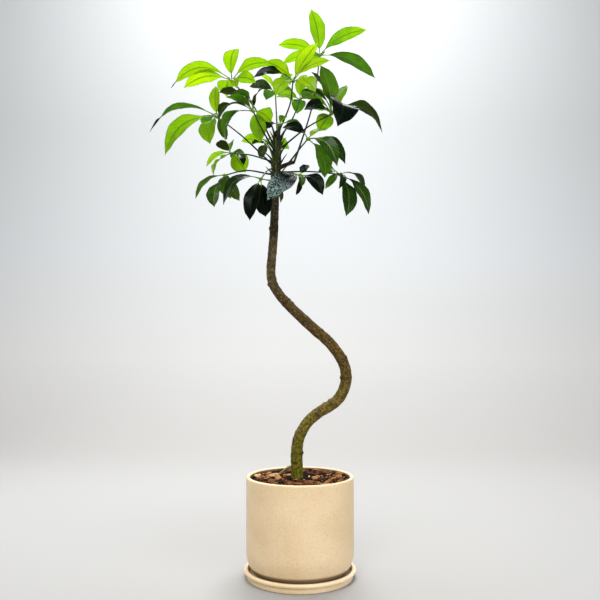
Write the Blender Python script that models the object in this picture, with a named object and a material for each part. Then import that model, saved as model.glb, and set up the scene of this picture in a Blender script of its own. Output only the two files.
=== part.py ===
"""A potted umbrella plant (schefflera) with one crooked stem, in a round stoneware pot on a saucer.

Metres, +Z up. The origin is the middle of the saucer's flat underside. +X is to the right and -Y is
towards a viewer at the front. Sizes given in millimetres are turned into metres by MM.
"""

import math
import random

import bmesh
import bpy
from mathutils import Matrix, Vector

MM = 0.001
GAP = 0.3 * MM  # left between two pieces that touch
MERGE = 0.001 * MM  # points closer than this are one point
UP = Vector((0.0, 0.0, 1.0))

# Saucer, millimetres
SAUCER_FOOT_RADIUS = 97.5
SAUCER_FOOT_HEIGHT = 9.3
SAUCER_LIP_RADIUS = 103.0
SAUCER_LIP_BOTTOM = 10.2
SAUCER_HEIGHT = 17.0
SAUCER_FLOOR = 5.0
SAUCER_LIP_WIDTH = 7.4
SAUCER_LIP_ROUND = 2.5
SAUCER_LIP_INNER_ROUND = 1.5
SAUCER_GROOVE = 2.6  # depth of the shadow line between foot and lip
SAUCER_WELL = 85.0  # radius of its flat floor

# Pot, millimetres
POT_RADIUS = 99.5
POT_RIM_HEIGHT = 183.3
POT_WALL = 7.0
POT_FLOOR = 8.0
POT_BEND_HEIGHT = 48.0  # height of the rounded bottom edge
POT_BEND_WIDTH = 28.0  # how far that edge draws in
POT_BEND_INSIDE = 30.0  # height of the bend on the inside
RIM_ROUND = 3.2

# Soil and its bark chips, millimetres
SOIL_DEPTH = 5.8  # below the rim
SOIL_HOLE_BOTTOM = 78.0  # the stem stands in a plain hole that ends this high
SOIL_HEAP = 1.5  # the middle is this much higher than the edge
CHIPS = 32
CHIP_SEED = 6
CHIP_LENGTH = (23.0, 35.0)
CHIP_LENGTH_OUTER = (18.0, 26.0)  # smaller ones lie near the wall
CHIP_WIDTH = (12.0, 17.0)
CHIP_THICKNESS = (5.0, 7.5)
CHIP_REACH = 88.0  # the outermost chips' middles
CHIP_LIMIT = 91.0  # no chip reaches past this
CHIP_OUTER_FROM = 72.0
CHIP_TILT = 13.0  # degrees
CHIP_LEAN = 9.0  # degrees
CHIP_RISE = 1.6  # a chip's middle is at most this far above the soil
GOLDEN_TURN = 137.5  # degrees from each chip, or leaf scar, to the next

ROUND_SIDES = 40  # flats round the pot and the saucer


# Materials

def paint(name, colour, roughness):
    """A plain material: sRGB hex colour and roughness."""
    material = bpy.data.materials.new(name)
    material.use_nodes = True
    shader = material.node_tree.nodes["Principled BSDF"]
    parts = [int(colour[i:i + 2], 16) / 255 for i in (0, 2, 4)]
    linear = [c / 12.92 if c <= 0.04045 else ((c + 0.055) / 1.055) ** 2.4 for c in parts]
    shader.inputs["Base Color"].default_value = (*linear, 1.0)
    shader.inputs["Roughness"].default_value = roughness
    shader.inputs["Metallic"].default_value = 0.0
    material.diffuse_color = (*linear, 1.0)
    return material


# Small tools

def clear_scene():
    for thing in list(bpy.data.objects):
        bpy.data.objects.remove(thing, do_unlink=True)


def add_object(name, mesh):
    thing = bpy.data.objects.new(name, mesh)
    bpy.context.scene.collection.objects.link(thing)
    return thing


def mesh_from(name, shape):
    mesh = bpy.data.meshes.new(name)
    shape.to_mesh(mesh)
    shape.free()
    return mesh


def turned(name, profile, sides=ROUND_SIDES):
    """A body of revolution about Z. The profile is (radius, height) in mm and ends on the axis."""
    shape = bmesh.new()
    points = [shape.verts.new((r * MM, 0.0, z * MM)) for r, z in profile]
    lines = [shape.edges.new(pair) for pair in zip(points, points[1:])]
    bmesh.ops.spin(
        shape, geom=points + lines, axis=UP, cent=(0, 0, 0), angle=math.tau, steps=sides, use_merge=True
    )
    bmesh.ops.remove_doubles(shape, verts=shape.verts, dist=MERGE)
    bmesh.ops.recalc_face_normals(shape, faces=shape.faces)
    return add_object(name, mesh_from(name, shape))


def arc(centre, radii, start, end, steps):
    """Points of an elliptical arc in a profile, angles in degrees, both ends included."""
    turns = [math.radians(start + (end - start) * i / steps) for i in range(steps + 1)]
    return [(centre[0] + radii[0] * math.cos(a), centre[1] + radii[1] * math.sin(a)) for a in turns]


def smooth_path(points, steps):
    """A Catmull-Rom curve through the points, with that many steps from each point to the next."""
    ends = [points[0] * 2 - points[1], *points, points[-1] * 2 - points[-2]]
    path = []
    for a, b, c, d in zip(ends, ends[1:], ends[2:], ends[3:]):
        for i in range(steps):
            t = i / steps
            path.append(
                0.5 * ((2 * b) + (c - a) * t + (2 * a - 5 * b + 4 * c - d) * t**2
                       + (3 * b - a - 3 * c + d) * t**3)
            )
    return [*path, points[-1].copy()]


def tube(name, path, radii, sides):
    """A round rod along a path in metres, with a radius in metres at each point and closed ends."""
    curve = bpy.data.curves.new(name, "CURVE")
    curve.dimensions = "3D"
    curve.bevel_depth = 1.0
    curve.bevel_resolution = (sides - 4) // 2
    curve.use_fill_caps = True
    spline = curve.splines.new("POLY")
    spline.points.add(len(path) - 1)
    for point, place, radius in zip(spline.points, path, radii):
        point.co = (*place, 1.0)
        point.radius = radius
    guide = add_object(name, curve)
    bpy.context.view_layer.update()
    mesh = bpy.data.meshes.new_from_object(guide.evaluated_get(bpy.context.evaluated_depsgraph_get()))
    bpy.data.objects.remove(guide, do_unlink=True)
    shape = bmesh.new()
    shape.from_mesh(mesh)
    bmesh.ops.remove_doubles(shape, verts=shape.verts, dist=MERGE)
    bmesh.ops.recalc_face_normals(shape, faces=shape.faces)
    shape.to_mesh(mesh)
    shape.free()
    return add_object(name, mesh)


def apply_boolean(thing, operation, others):
    """Join or cut with a collection of objects, then remove them."""
    group = bpy.data.collections.new(thing.name + "_tools")
    bpy.context.scene.collection.children.link(group)
    for other in others:
        bpy.context.scene.collection.objects.unlink(other)
        group.objects.link(other)
    step = thing.modifiers.new("boolean", "BOOLEAN")
    step.operation = operation
    step.operand_type = "COLLECTION"
    step.collection = group
    step.solver = "EXACT"
    bpy.context.view_layer.update()
    mesh = bpy.data.meshes.new_from_object(thing.evaluated_get(bpy.context.evaluated_depsgraph_get()))
    thing.modifiers.clear()
    thing.data = mesh
    for other in others:
        bpy.data.objects.remove(other, do_unlink=True)
    bpy.data.collections.remove(group)


def keep_largest(shape):
    """Drop loose scraps: only the body with the most faces stays."""
    left = set(shape.faces)
    bodies = []
    while left:
        body = [left.pop()]
        for face in body:
            for edge in face.edges:
                fresh = [f for f in edge.link_faces if f in left]
                left.difference_update(fresh)
                body.extend(fresh)
        bodies.append(body)
    bodies.sort(key=len)
    scraps = [face for body in bodies[:-1] for face in body]
    bmesh.ops.delete(shape, geom=scraps, context="FACES")


def finish(thing, material, sharp=50.0):
    """Clean the mesh of an object that is one body and give it its material and shading."""
    shape = bmesh.new()
    shape.from_mesh(thing.data)
    bmesh.ops.remove_doubles(shape, verts=shape.verts, dist=MERGE)
    bmesh.ops.dissolve_degenerate(shape, edges=shape.edges, dist=MERGE)
    keep_largest(shape)
    bmesh.ops.triangulate(shape, faces=shape.faces)
    shape.to_mesh(thing.data)
    shape.free()
    thing.data.materials.clear()
    thing.data.materials.append(material)
    thing.data.shade_smooth()
    thing.data.set_sharp_from_angle(angle=math.radians(sharp))
    return thing


# Saucer and pot

def pot_outside(height):
    """Outer radius of the pot at a height above its underside, in mm."""
    if height >= POT_BEND_HEIGHT:
        return POT_RADIUS
    down = 1.0 - height / POT_BEND_HEIGHT
    return POT_RADIUS - POT_BEND_WIDTH * (1.0 - math.sqrt(1.0 - down * down))


def make_saucer(material):
    """A thick dish: a plain foot, a shadow line, a rolled lip and a well with a rounded corner."""
    lip_middle = (SAUCER_LIP_BOTTOM + SAUCER_HEIGHT) / 2
    lip_inner = SAUCER_LIP_RADIUS - SAUCER_LIP_WIDTH
    corner = (lip_inner - 1.0 - SAUCER_WELL, SAUCER_HEIGHT - SAUCER_LIP_ROUND - SAUCER_FLOOR)
    well = arc((SAUCER_WELL, SAUCER_FLOOR + corner[1]), corner, 0, -90, 4)
    outer = (SAUCER_LIP_RADIUS - SAUCER_LIP_ROUND, lip_middle)
    inner = (lip_inner + SAUCER_LIP_INNER_ROUND, SAUCER_HEIGHT - SAUCER_LIP_INNER_ROUND)
    profile = [
        (0.0, 0.0),
        (SAUCER_FOOT_RADIUS - 1.0, 0.0),
        (SAUCER_FOOT_RADIUS, 1.0),
        (SAUCER_FOOT_RADIUS, SAUCER_FOOT_HEIGHT - 0.8),
        (SAUCER_FOOT_RADIUS - 1.0, SAUCER_FOOT_HEIGHT),
        (SAUCER_FOOT_RADIUS - SAUCER_GROOVE, SAUCER_FOOT_HEIGHT + 0.6),
        *arc(outer, (SAUCER_LIP_ROUND, SAUCER_HEIGHT - lip_middle), -80, 90, 5),
        *arc(inner, (SAUCER_LIP_INNER_ROUND, SAUCER_LIP_INNER_ROUND), 90, 180, 2),
        *well,
        (0.0, SAUCER_FLOOR),
    ]
    return finish(turned("saucer", profile), material)


def make_pot(material):
    """A straight round pot with a rounded bottom edge and a soft rim."""
    base = SAUCER_FLOOR + GAP / MM
    heights = [POT_BEND_HEIGHT * (1 - math.cos(math.radians(a))) for a in (0, 25, 44, 60, 75, 90)]
    outside = [(pot_outside(h), base + h) for h in heights]
    top = POT_RIM_HEIGHT - RIM_ROUND
    rim = arc((POT_RADIUS - POT_WALL / 2, top), (POT_WALL / 2, RIM_ROUND), 0, 180, 6)
    inside = [(r, z) for r, z in pot_inside() if z < top]
    profile = [(0.0, base), *outside, *rim, *reversed(inside)]
    return finish(turned("pot", profile), material, sharp=40.0)


def pot_inside(clear=0.0):
    """The hollow of the pot from its middle outwards and up, in mm, drawn in by clear."""
    base = SAUCER_FLOOR + GAP / MM + POT_FLOOR + clear
    radius = POT_RADIUS - POT_WALL - clear
    middle = (radius - POT_BEND_WIDTH, base + POT_BEND_INSIDE)
    bend = arc(middle, (POT_BEND_WIDTH, POT_BEND_INSIDE), 270, 360, 4)
    return [(0.0, base), *bend, (radius, POT_RIM_HEIGHT)]


def make_chip(number, draw):
    """One flat bark chip of the mulch, its place on a sunflower spiral."""
    turn = number * math.radians(GOLDEN_TURN)
    reach = CHIP_REACH * math.sqrt((number + 4.0) / (CHIPS + 4.0))
    outer = reach > CHIP_OUTER_FROM
    length = draw.uniform(*(CHIP_LENGTH_OUTER if outer else CHIP_LENGTH))
    wide = draw.uniform(*CHIP_WIDTH)
    thick = draw.uniform(*CHIP_THICKNESS)
    reach = min(reach, CHIP_LIMIT - wide / 2)
    along = turn + math.pi / 2 + draw.uniform(-0.5, 0.5) * (0.25 if outer else 1.0)
    shape = bmesh.new()
    bmesh.ops.create_cone(
        shape, cap_ends=True, cap_tris=False, segments=5, radius1=0.54, radius2=0.42, depth=1.0
    )
    for corner in shape.verts:
        corner.co.x += draw.uniform(-0.09, 0.09)
        corner.co.y += draw.uniform(-0.09, 0.09)
    bmesh.ops.scale(shape, vec=Vector((length, wide, thick)) * MM, verts=shape.verts)
    tilt = Matrix.Rotation(math.radians(draw.uniform(-CHIP_TILT, CHIP_TILT)), 4, "X")
    lean = Matrix.Rotation(math.radians(draw.uniform(-CHIP_LEAN, CHIP_LEAN)), 4, "Y")
    height = POT_RIM_HEIGHT - SOIL_DEPTH + draw.uniform(0.0, CHIP_RISE)
    place = Matrix.Translation(Vector((reach * math.cos(turn), reach * math.sin(turn), height)) * MM)
    facing = Matrix.Rotation(along, 4, "Z") @ tilt @ lean
    bmesh.ops.transform(shape, matrix=place @ facing, verts=shape.verts)
    bmesh.ops.recalc_face_normals(shape, faces=shape.faces)
    return add_object("chip", mesh_from("chip", shape))


def make_soil(material, stem_cutter):
    """Potting mix that fills the pot, covered with bark chips, with a hole for the stem."""
    surface = POT_RIM_HEIGHT - SOIL_DEPTH
    sides = [(r, z) for r, z in pot_inside(GAP / MM) if z < surface]
    edge = POT_RADIUS - POT_WALL - GAP / MM
    profile = [*sides, (edge, surface - 2.0), (edge - 3.0, surface), (0.0, surface + SOIL_HEAP)]
    soil = turned("soil", profile)
    draw = random.Random(CHIP_SEED)
    apply_boolean(soil, "UNION", [make_chip(i, draw) for i in range(CHIPS)])
    apply_boolean(soil, "DIFFERENCE", [stem_cutter])
    return finish(soil, material, sharp=30.0)


# Stem

# The stem's middle line and radius in mm: across, back, up, radius
STEM = [
    (-4, 0, SOIL_HOLE_BOTTOM, 11.2),
    (-5, 0, 172, 11.2),
    (-6, 0, 206, 11.0),
    (-6, 1, 230, 10.8),
    (-2, 3, 251, 10.5),
    (7, 6, 270, 10.3),
    (19, 9, 285, 10.3),
    (38, 11, 300, 10.4),
    (60, 10, 313, 10.5),
    (77, 6, 331, 10.4),
    (86, 1, 357, 10.2),
    (84, -4, 382, 10.2),
    (73, -8, 406, 10.2),
    (52, -11, 432, 10.1),
    (29, -12, 452, 10.0),
    (6, -11, 473, 9.8),
    (-17, -8, 495, 9.4),
    (-37, -4, 517, 9.0),
    (-51, 0, 540, 8.7),
    (-55, 3, 566, 8.5),
    (-53, 4, 594, 8.3),
    (-50, 3, 632, 8.1),
    (-48, 1, 680, 7.8),
    (-47, 0, 726, 7.8),
    (-46, 0, 748, 8.6),
    (-45, 0, 772, 9.0),
    (-44, 0, 796, 8.0),
    (-43, 0, 816, 6.4),
    (-43, 0, 832, 4.8),
]
SIDE_SHOOT = [(-46, 0, 758, 4.4), (-30, -2, 765, 4.0), (-13, -4, 771, 3.4)]
STEM_ROOT = [
    (-6, 2, 199, 2.7),
    (-19, 5, 198, 2.5),
    (-31, 10, 190, 2.2),
    (-40, 14, 181, 2.0),
    (-48, 17, 170, 1.7),
]
STEM_SIDES = 10
SHOOT_SIDES = 8
ROOT_SIDES = 6
SCARS = 13  # raised leaf scars that climb round the stem
SCAR_LOWEST = 225.0
SCAR_STEP = 35.0
SCAR_RADIUS = 3.4
SCAR_SINK = 1.3  # their middles lie this far under the bark


def rod(name, line, sides, steps, grow=0.0):
    """A rod from a list of (across, back, up, radius) in mm, thicker by grow in metres."""
    path = smooth_path([Vector(p[:3]) * MM for p in line], steps)
    widths = smooth_path([Vector((p[3], 0, 0)) * MM for p in line], steps)
    path[0] -= (path[1] - path[0]).normalized() * grow
    path[-1] += (path[-1] - path[-2]).normalized() * grow
    spread = grow / math.cos(math.pi / sides)
    return tube(name, path, [w.x + spread for w in widths], sides)


def stem_at(height):
    """The middle of the stem at a height in mm, in metres."""
    for low, high in zip(STEM, STEM[1:]):
        if low[2] <= height <= high[2]:
            part = (height - low[2]) / (high[2] - low[2])
            return Vector(low[:3]).lerp(Vector(high[:3]), part) * MM
    return Vector(STEM[-1][:3]) * MM


def shoot_at(share):
    """A point on the middle of the side shoot, from 0 at the stem to 1 at its tip, in metres."""
    return Vector(SIDE_SHOOT[0][:3]).lerp(Vector(SIDE_SHOOT[-1][:3]), share) * MM


def stem_shape(name, grow=0.0):
    """The stem with its side shoot and its surface root, all joined."""
    stem = rod(name, STEM, STEM_SIDES, 2, grow)
    shoot = rod("shoot", SIDE_SHOOT, SHOOT_SIDES, 2, grow)
    root = rod("root", STEM_ROOT, ROOT_SIDES, 2, grow)
    apply_boolean(stem, "UNION", [shoot, root])
    return stem


def make_scar(number):
    """One raised leaf scar, sunk into the bark."""
    height = SCAR_LOWEST + number * SCAR_STEP
    for low, high in zip(STEM, STEM[1:]):
        if low[2] <= height <= high[2]:
            along = (Vector(high[:3]) - Vector(low[:3])).normalized()
            radius = low[3]
    turn = number * math.radians(GOLDEN_TURN)
    out = Vector((math.cos(turn), math.sin(turn), 0.0))
    out = (out - along * out.dot(along)).normalized()
    shape = bmesh.new()
    bmesh.ops.create_icosphere(shape, subdivisions=1, radius=SCAR_RADIUS * MM)
    bmesh.ops.scale(shape, vec=(1.0, 1.0, 0.75), verts=shape.verts)
    place = stem_at(height) + out * (radius - SCAR_SINK) * MM
    facing = along.to_track_quat("Z", "Y").to_matrix().to_4x4()
    bmesh.ops.transform(shape, matrix=Matrix.Translation(place) @ facing, verts=shape.verts)
    return add_object("scar", mesh_from("scar", shape))


def make_stem(material):
    stem = stem_shape("stem")
    apply_boolean(stem, "UNION", [make_scar(i) for i in range(SCARS)])
    return finish(stem, material, sharp=60.0)


# Fronds

LEAF_THICKNESS = 0.9 * MM
STALK_HALF_WIDTH = 1.1 * MM  # half width of a leaflet's own stalk
STALK_SHARE = 0.17  # how much of a leaflet's reach is its stalk
LEAF_STATIONS = (0.0, STALK_SHARE, 0.33, 0.55, 0.79, 1.0)
LEAF_FOLD = 0.22  # rise of the leaflet's edges from its rib, as a share of the half width
HUB_RADIUS = 4.2 * MM
LEAF_START = 2.2 * MM  # a leaflet's root is this far from the middle of the hub
PETIOLE_SIDES = 6
PETIOLE_KNEE = 14.0 * MM  # where the stalk turns up, from its root
PETIOLE_RADII = (3.4, 2.8, 2.0, 1.6, 1.4, 1.35, 1.4)  # mm, from the stem to the hub


class Frond:
    """A long stalk (petiole) that ends in a hub with leaflets round it like the ribs of an umbrella.

    root is where the stalk starts, inside the stem or its side shoot. hub is the hub's place, and bow
    moves the middle of the stalk, both in mm. Each leaflet is its tip from the hub (across, back, up)
    and its width in mm, how far it arches as a share of its length, and how many degrees its near edge
    is raised, which turns its underside to the front.
    """

    def __init__(self, name, root, hub, bow, leaflets):
        self.name = name
        self.root = root
        self.hub = Vector(hub) * MM
        self.bow = Vector(bow) * MM
        self.leaflets = leaflets


FRONDS = [
    Frond("frond_top_right", shoot_at(0.95), (39, 30, 992), (10, 0, 6), [
        (-18, -35, 77, 32, 0.10, 0),
        (92, -10, 47, 28, 0.12, 35),
        (109, 10, -42, 28, 0.14, 30),
        (-82, -15, 14, 26, 0.12, 30),
        (-74, 32, -4, 22, 0.10, 25),
        (-10, 80, 22, 30, 0.12, 0),
    ]),
    Frond("frond_top_middle", stem_at(826), (-13, -40, 914), (6, 0, 0), [
        (45, -32, 59, 32, 0.06, 20),
        (70, 16, 46, 25, 0.12, 40),
        (-52, -20, 30, 28, 0.10, 40),
        (-72, -30, -4, 24, 0.20, -45),
        (-31, -38, -40, 30, 0.16, -30),
        (41, -38, -34, 31, 0.16, -35),
        (-16, 62, 22, 26, 0.12, 0),
    ]),
    Frond("frond_top_left", stem_at(804), (-127, -30, 919), (6, 0, 4), [
        (14, -68, 33, 30, 0.22, 0),
        (-112, -14, -19, 28, 0.28, 35),
        (-95, 24, -5, 32, 0.15, 40),
        (-14, 44, -16, 38, 0.30, 0),
        (75, 10, 36, 26, 0.18, 40),
        (42, 42, 12, 26, 0.14, 35),
        (12, -34, -27, 16, 0.20, 0),
    ]),
    Frond("frond_top_back", stem_at(830), (-50, 80, 934), (0, 6, 0), [
        (-30, 15, 42, 18, 0.12, 20),
        (-52, -14, 8, 20, 0.22, 40),
        (34, 52, 8, 28, 0.14, 20),
        (-22, 66, 8, 28, 0.14, 0),
        (36, 14, 44, 26, 0.10, 20),
        (38, -14, -24, 22, 0.16, 20),
    ]),
    Frond("frond_front_middle", stem_at(790), (-85, -70, 848), (-2, -4, 0), [
        (-60, -34, -30, 24, 0.30, 0),
        (-50, 0, -55, 28, 0.34, -30),
        (-47, -26, 17, 24, 0.14, 20),
        (-67, 44, 50, 27, 0.14, 45),
        (-41, 4, 34, 21, 0.30, 40),
        (32, 22, -14, 33, 0.16, 30),
        (15, 20, 48, 21, 0.14, 30),
        (13, 36, -45, 30, 0.18, 20),
    ]),
    Frond("frond_left", stem_at(766), (-155, -20, 853), (0, 0, 4), [
        (1, -38, 46, 22, 0.12, 0),
        (-122, -26, -36, 24, 0.26, 8),
        (-101, 14, -69, 37, 0.22, 32),
        (-10, -30, -60, 37, 0.20, -20),
        (15, 26, -36, 18, 0.18, 20),
        (28, -18, 20, 17, 0.20, 25),
        (-32, 72, 2, 30, 0.16, 0),
    ]),
    Frond("frond_right", stem_at(797), (57, -60, 846), (0, -4, 4), [
        (8, -64, -43, 56, 0.42, 0),
        (91, -20, -41, 30, 0.30, 30),
        (-50, -42, -6, 25, 0.20, -35),
        (-20, -24, 82, 34, 0.08, 50),
        (30, 14, 59, 20, 0.10, 20),
        (-36, 14, 84, 24, 0.10, 30),
        (-22, 42, -20, 32, 0.14, 10),
        (-30, 34, 20, 28, 0.12, 10),
        (-53, 16, 50, 19, 0.20, 20),
        (-54, -6, 26, 16, 0.20, 20),
    ]),
    Frond("frond_front_low", shoot_at(0.62), (14, -90, 791), (4, 0, 6), [
        (-45, -22, 14, 21, 0.20, -45),
        (66, -8, -47, 32, 0.22, -20),
        (50, -44, -60, 30, 0.22, -20),
        (31, 26, -64, 38, 0.16, -35),
        (32, 22, 24, 22, 0.14, 20),
    ]),
    Frond("frond_right_low", stem_at(752), (71, -30, 742), (0, 0, 3), [
        (51, 30, -23, 26, 0.24, 10),
        (13, -22, -83, 34, 0.14, -30),
        (56, -4, -76, 28, 0.16, -45),
        (-38, -30, -2, 26, 0.20, -35),
        (-25, -20, -32, 14, 0.18, 0),
        (-1, -42, -37, 14, 0.24, 0),
    ]),
    Frond("frond_front_lowest", stem_at(744), (0, -90, 726), (0, 0, 4), [
        (40, -20, -40, 26, 0.20, -35),
        (3, -24, -26, 13, 0.18, 0),
        (-7, 14, -33, 10, 0.16, 0),
        (-56, -46, -54, 40, 0.16, -5),
        (14, 14, 22, 17, 0.12, 15),
    ]),
    Frond("frond_front_left_low", stem_at(756), (-69, -100, 717), (0, 0, 6), [
        (-18, -18, -77, 30, 0.14, 0),
        (8, 14, -65, 32, 0.12, 0),
        (-64, -18, -50, 23, 0.32, -8),
        (34, 44, -34, 24, 0.20, 0),
    ]),
    Frond("frond_left_low", stem_at(750), (-146, 30, 754), (0, 0, 8), [
        (-18, -18, -66, 36, 0.12, -50),
        (-60, 22, -42, 22, 0.20, 0),
        (6, 62, -34, 30, 0.20, 0),
        (26, 34, -44, 24, 0.20, 0),
    ]),
    Frond("frond_back_left", stem_at(774), (-140, 90, 813), (0, 0, 4), [
        (-53, 22, -22, 18, 0.22, 0),
        (-34, -12, -48, 28, 0.20, -40),
        (28, 22, -34, 40, 0.22, 20),
        (27, -20, -30, 18, 0.22, -30),
        (-27, -28, 14, 20, 0.20, 10),
        (-4, 46, 34, 26, 0.14, 0),
        (26, 62, -8, 28, 0.18, 10),
    ]),
    Frond("frond_back_right", stem_at(816), (0, 62, 914), (4, 4, 0), [
        (26, -32, 6, 22, 0.16, 0),
        (54, 0, 11, 26, 0.16, 10),
        (-6, 52, -12, 29, 0.16, 0),
        (10, 18, 60, 26, 0.08, 0),
        (46, 46, 10, 28, 0.14, 10),
        (-48, -30, -6, 26, 0.14, 10),
    ]),
    Frond("frond_back", stem_at(786), (-68, 70, 826), (0, 4, 0), [
        (-50, 0, 6, 24, 0.16, 20),
        (-27, -16, -5, 20, 0.20, -45),
        (-12, 34, -22, 20, 0.18, 0),
        (46, 44, 2, 30, 0.16, 10),
        (-4, 66, 20, 30, 0.14, 0),
    ]),
    Frond("frond_young", stem_at(812), (-38, -27, 836), (0, 0, 0), [
        (-36, 2, -12, 21, 0.20, -50),
        (24, -20, -14, 12, 0.20, 0),
        (46, 6, -10, 17, 0.22, -40),
        (12, -30, 6, 14, 0.20, 10),
    ]),
]


def petiole(frond):
    """The stalk from the stem to the hub: it leaves sideways and bends up, and is thick at its foot."""
    level = Vector((frond.hub.x - frond.root.x, frond.hub.y - frond.root.y, 0.0))
    slope = (frond.hub.z - frond.root.z) / max(level.length, MM)
    leave = (level.normalized() + UP * min(max(slope * 0.6, 0.0), 1.4)).normalized()
    knee = frond.root + leave * PETIOLE_KNEE
    middle = (knee + frond.hub) / 2 + frond.bow
    path = smooth_path([frond.root, knee, middle, frond.hub], 2)
    frond.end = (path[-1] - path[-2]).normalized()
    return tube(frond.name, path, [r * MM for r in PETIOLE_RADII], PETIOLE_SIDES)


def leaf_outline(share):
    """Half width of the blade along its length, from 0 at the stalk over 1 to 0 at the tip."""
    return math.sin(math.pi * share) ** 0.64


def make_leaflet(frond, spec):
    """One leaflet: a narrow stalk that widens into a folded, drooping blade with a short tip."""
    tip = Vector(spec[:3]) * MM
    half = spec[3] / 2 * MM
    arch = spec[4] * tip.length
    axis = (frond.end * 0.5 + UP * 0.8).normalized()
    across = axis.cross(tip).normalized()
    lift = tip.cross(across).normalized()
    start = LEAF_START / (tip + lift * arch * 4).length
    shape = bmesh.new()
    segments = len(LEAF_STATIONS) - 1
    bmesh.ops.create_grid(shape, x_segments=segments, y_segments=2, size=1.0)
    bmesh.ops.triangulate(shape, faces=shape.faces, quad_method="FIXED")
    for point in shape.verts:
        t = LEAF_STATIONS[round((point.co.x + 1) / 2 * segments)]
        side = point.co.y
        blade = max((t - STALK_SHARE) / (1 - STALK_SHARE), 0.0)
        spread = max(half * leaf_outline(blade), STALK_HALF_WIDTH) if t < 1.0 else 0.0
        t = max(t, start)
        roll = math.radians(spec[5]) * math.copysign(min(blade * 3.0, 1.0), -tip.x)
        turn = Matrix.Rotation(roll, 3, tip.normalized())
        edge = turn @ (across * side * spread + lift * abs(side) * spread * LEAF_FOLD)
        point.co = frond.hub + tip * t + lift * arch * 4 * t * (1 - t) + edge
    bmesh.ops.remove_doubles(shape, verts=shape.verts, dist=MERGE)
    bmesh.ops.solidify(shape, geom=shape.faces[:], thickness=LEAF_THICKNESS)
    bmesh.ops.recalc_face_normals(shape, faces=shape.faces)
    return add_object("leaflet", mesh_from("leaflet", shape))


def make_hub(frond):
    shape = bmesh.new()
    bmesh.ops.create_icosphere(shape, subdivisions=1, radius=HUB_RADIUS)
    bmesh.ops.translate(shape, vec=frond.hub, verts=shape.verts)
    return add_object("hub", mesh_from("hub", shape))


def make_frond(frond, material, stem_cutter):
    stalk = petiole(frond)
    leaflets = [make_leaflet(frond, spec) for spec in frond.leaflets]
    apply_boolean(stalk, "UNION", [make_hub(frond), *leaflets])
    apply_boolean(stalk, "DIFFERENCE", [stem_cutter])
    return finish(stalk, material, sharp=55.0)


def main():
    clear_scene()
    stoneware = paint("cream stoneware", "e6d2b0", 0.55)
    mulch = paint("bark mulch", "7a5238", 0.9)
    bark = paint("young bark", "5a5030", 0.8)
    leaf = paint("glossy leaf", "3f6b22", 0.35)
    make_saucer(stoneware)
    make_pot(stoneware)
    make_soil(mulch, stem_shape("cutter", GAP))
    make_stem(bark)
    for frond in FRONDS:
        make_frond(frond, leaf, stem_shape("cutter", GAP))


main()
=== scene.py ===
"""The finished look of a potted umbrella plant: stoneware pot and saucer, mulch, crooked stem, fronds.

Metres, +Z up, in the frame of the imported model. Sizes given in millimetres are turned into metres by MM.
"""

import math
import random

import bmesh
import bpy
from mathutils import Matrix, Vector, kdtree, noise


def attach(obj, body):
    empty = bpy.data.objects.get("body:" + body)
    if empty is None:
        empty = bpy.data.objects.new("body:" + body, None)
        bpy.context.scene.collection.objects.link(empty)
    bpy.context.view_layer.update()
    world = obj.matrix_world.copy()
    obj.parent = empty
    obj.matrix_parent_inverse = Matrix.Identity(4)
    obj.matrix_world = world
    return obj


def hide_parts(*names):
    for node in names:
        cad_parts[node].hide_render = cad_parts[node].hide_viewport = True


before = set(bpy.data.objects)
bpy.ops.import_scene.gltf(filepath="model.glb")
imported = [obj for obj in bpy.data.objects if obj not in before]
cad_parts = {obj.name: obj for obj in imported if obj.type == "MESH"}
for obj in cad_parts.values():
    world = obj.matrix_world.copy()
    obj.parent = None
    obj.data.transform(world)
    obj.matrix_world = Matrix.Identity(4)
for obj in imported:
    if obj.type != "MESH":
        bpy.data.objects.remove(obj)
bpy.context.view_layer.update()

MM = 0.001
MERGE = 0.001 * MM  # points closer than this become one
UP = Vector((0.0, 0.0, 1.0))
GOLDEN_TURN = math.radians(137.5)  # the turn from each leaf to the next, and from each chip to the next

# Saucer, millimetres
SAUCER_FOOT_RADIUS = 97.5
SAUCER_FOOT_HEIGHT = 9.3
SAUCER_FOOT_ROUND = 1.2
SAUCER_SHOULDER = (1.0, 0.8)  # width and height of the rounding on top of the foot
SAUCER_GROOVE = 2.6
SAUCER_LIP_RADIUS = 103.0
SAUCER_LIP_BOTTOM = 10.2
SAUCER_LIP_WIDTH = 7.4
SAUCER_LIP_ROUND = 2.5
SAUCER_LIP_INNER_ROUND = 1.5
SAUCER_HEIGHT = 17.0
SAUCER_FLOOR = 5.0
SAUCER_WELL = 85.0
SAUCER_WELL_LEAN = 1.0  # how far the well's wall leans in
SAUCER_UNDER_FLAT = 12.0  # the underside's flat faces start this far from the foot's edge
SAUCER_WELL_FLAT = 8.0  # and the well's this far from its rounded corner
SAUCER_SIDES = 160

# Pot, millimetres
POT_RADIUS = 99.5
POT_RIM_HEIGHT = 183.3
POT_WALL = 7.0
POT_BASE = 5.3  # height of the pot's underside, in the saucer's well
POT_FLOOR = 8.0
POT_BEND_HEIGHT = 48.0
POT_BEND_WIDTH = 28.0
POT_BEND_INSIDE = 30.0
POT_RINGS = (60.0, 85.0, 110.0, 135.0, 160.0, 174.0)  # heights that split the wall into even faces
RIM_ROUND = 3.2
RIM_INSIDE = 5.0  # how far down the rim's inner side runs to the first ring of the wall
POT_SIDES = 192

# How far painted shade, and earth on the pot's inner wall, darken the glaze, from 0 to 1
WELL_SHADE = 0.25
GROOVE_SHADE = 0.9
POT_INSIDE_EARTH_AND_SHADE = 0.75

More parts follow.
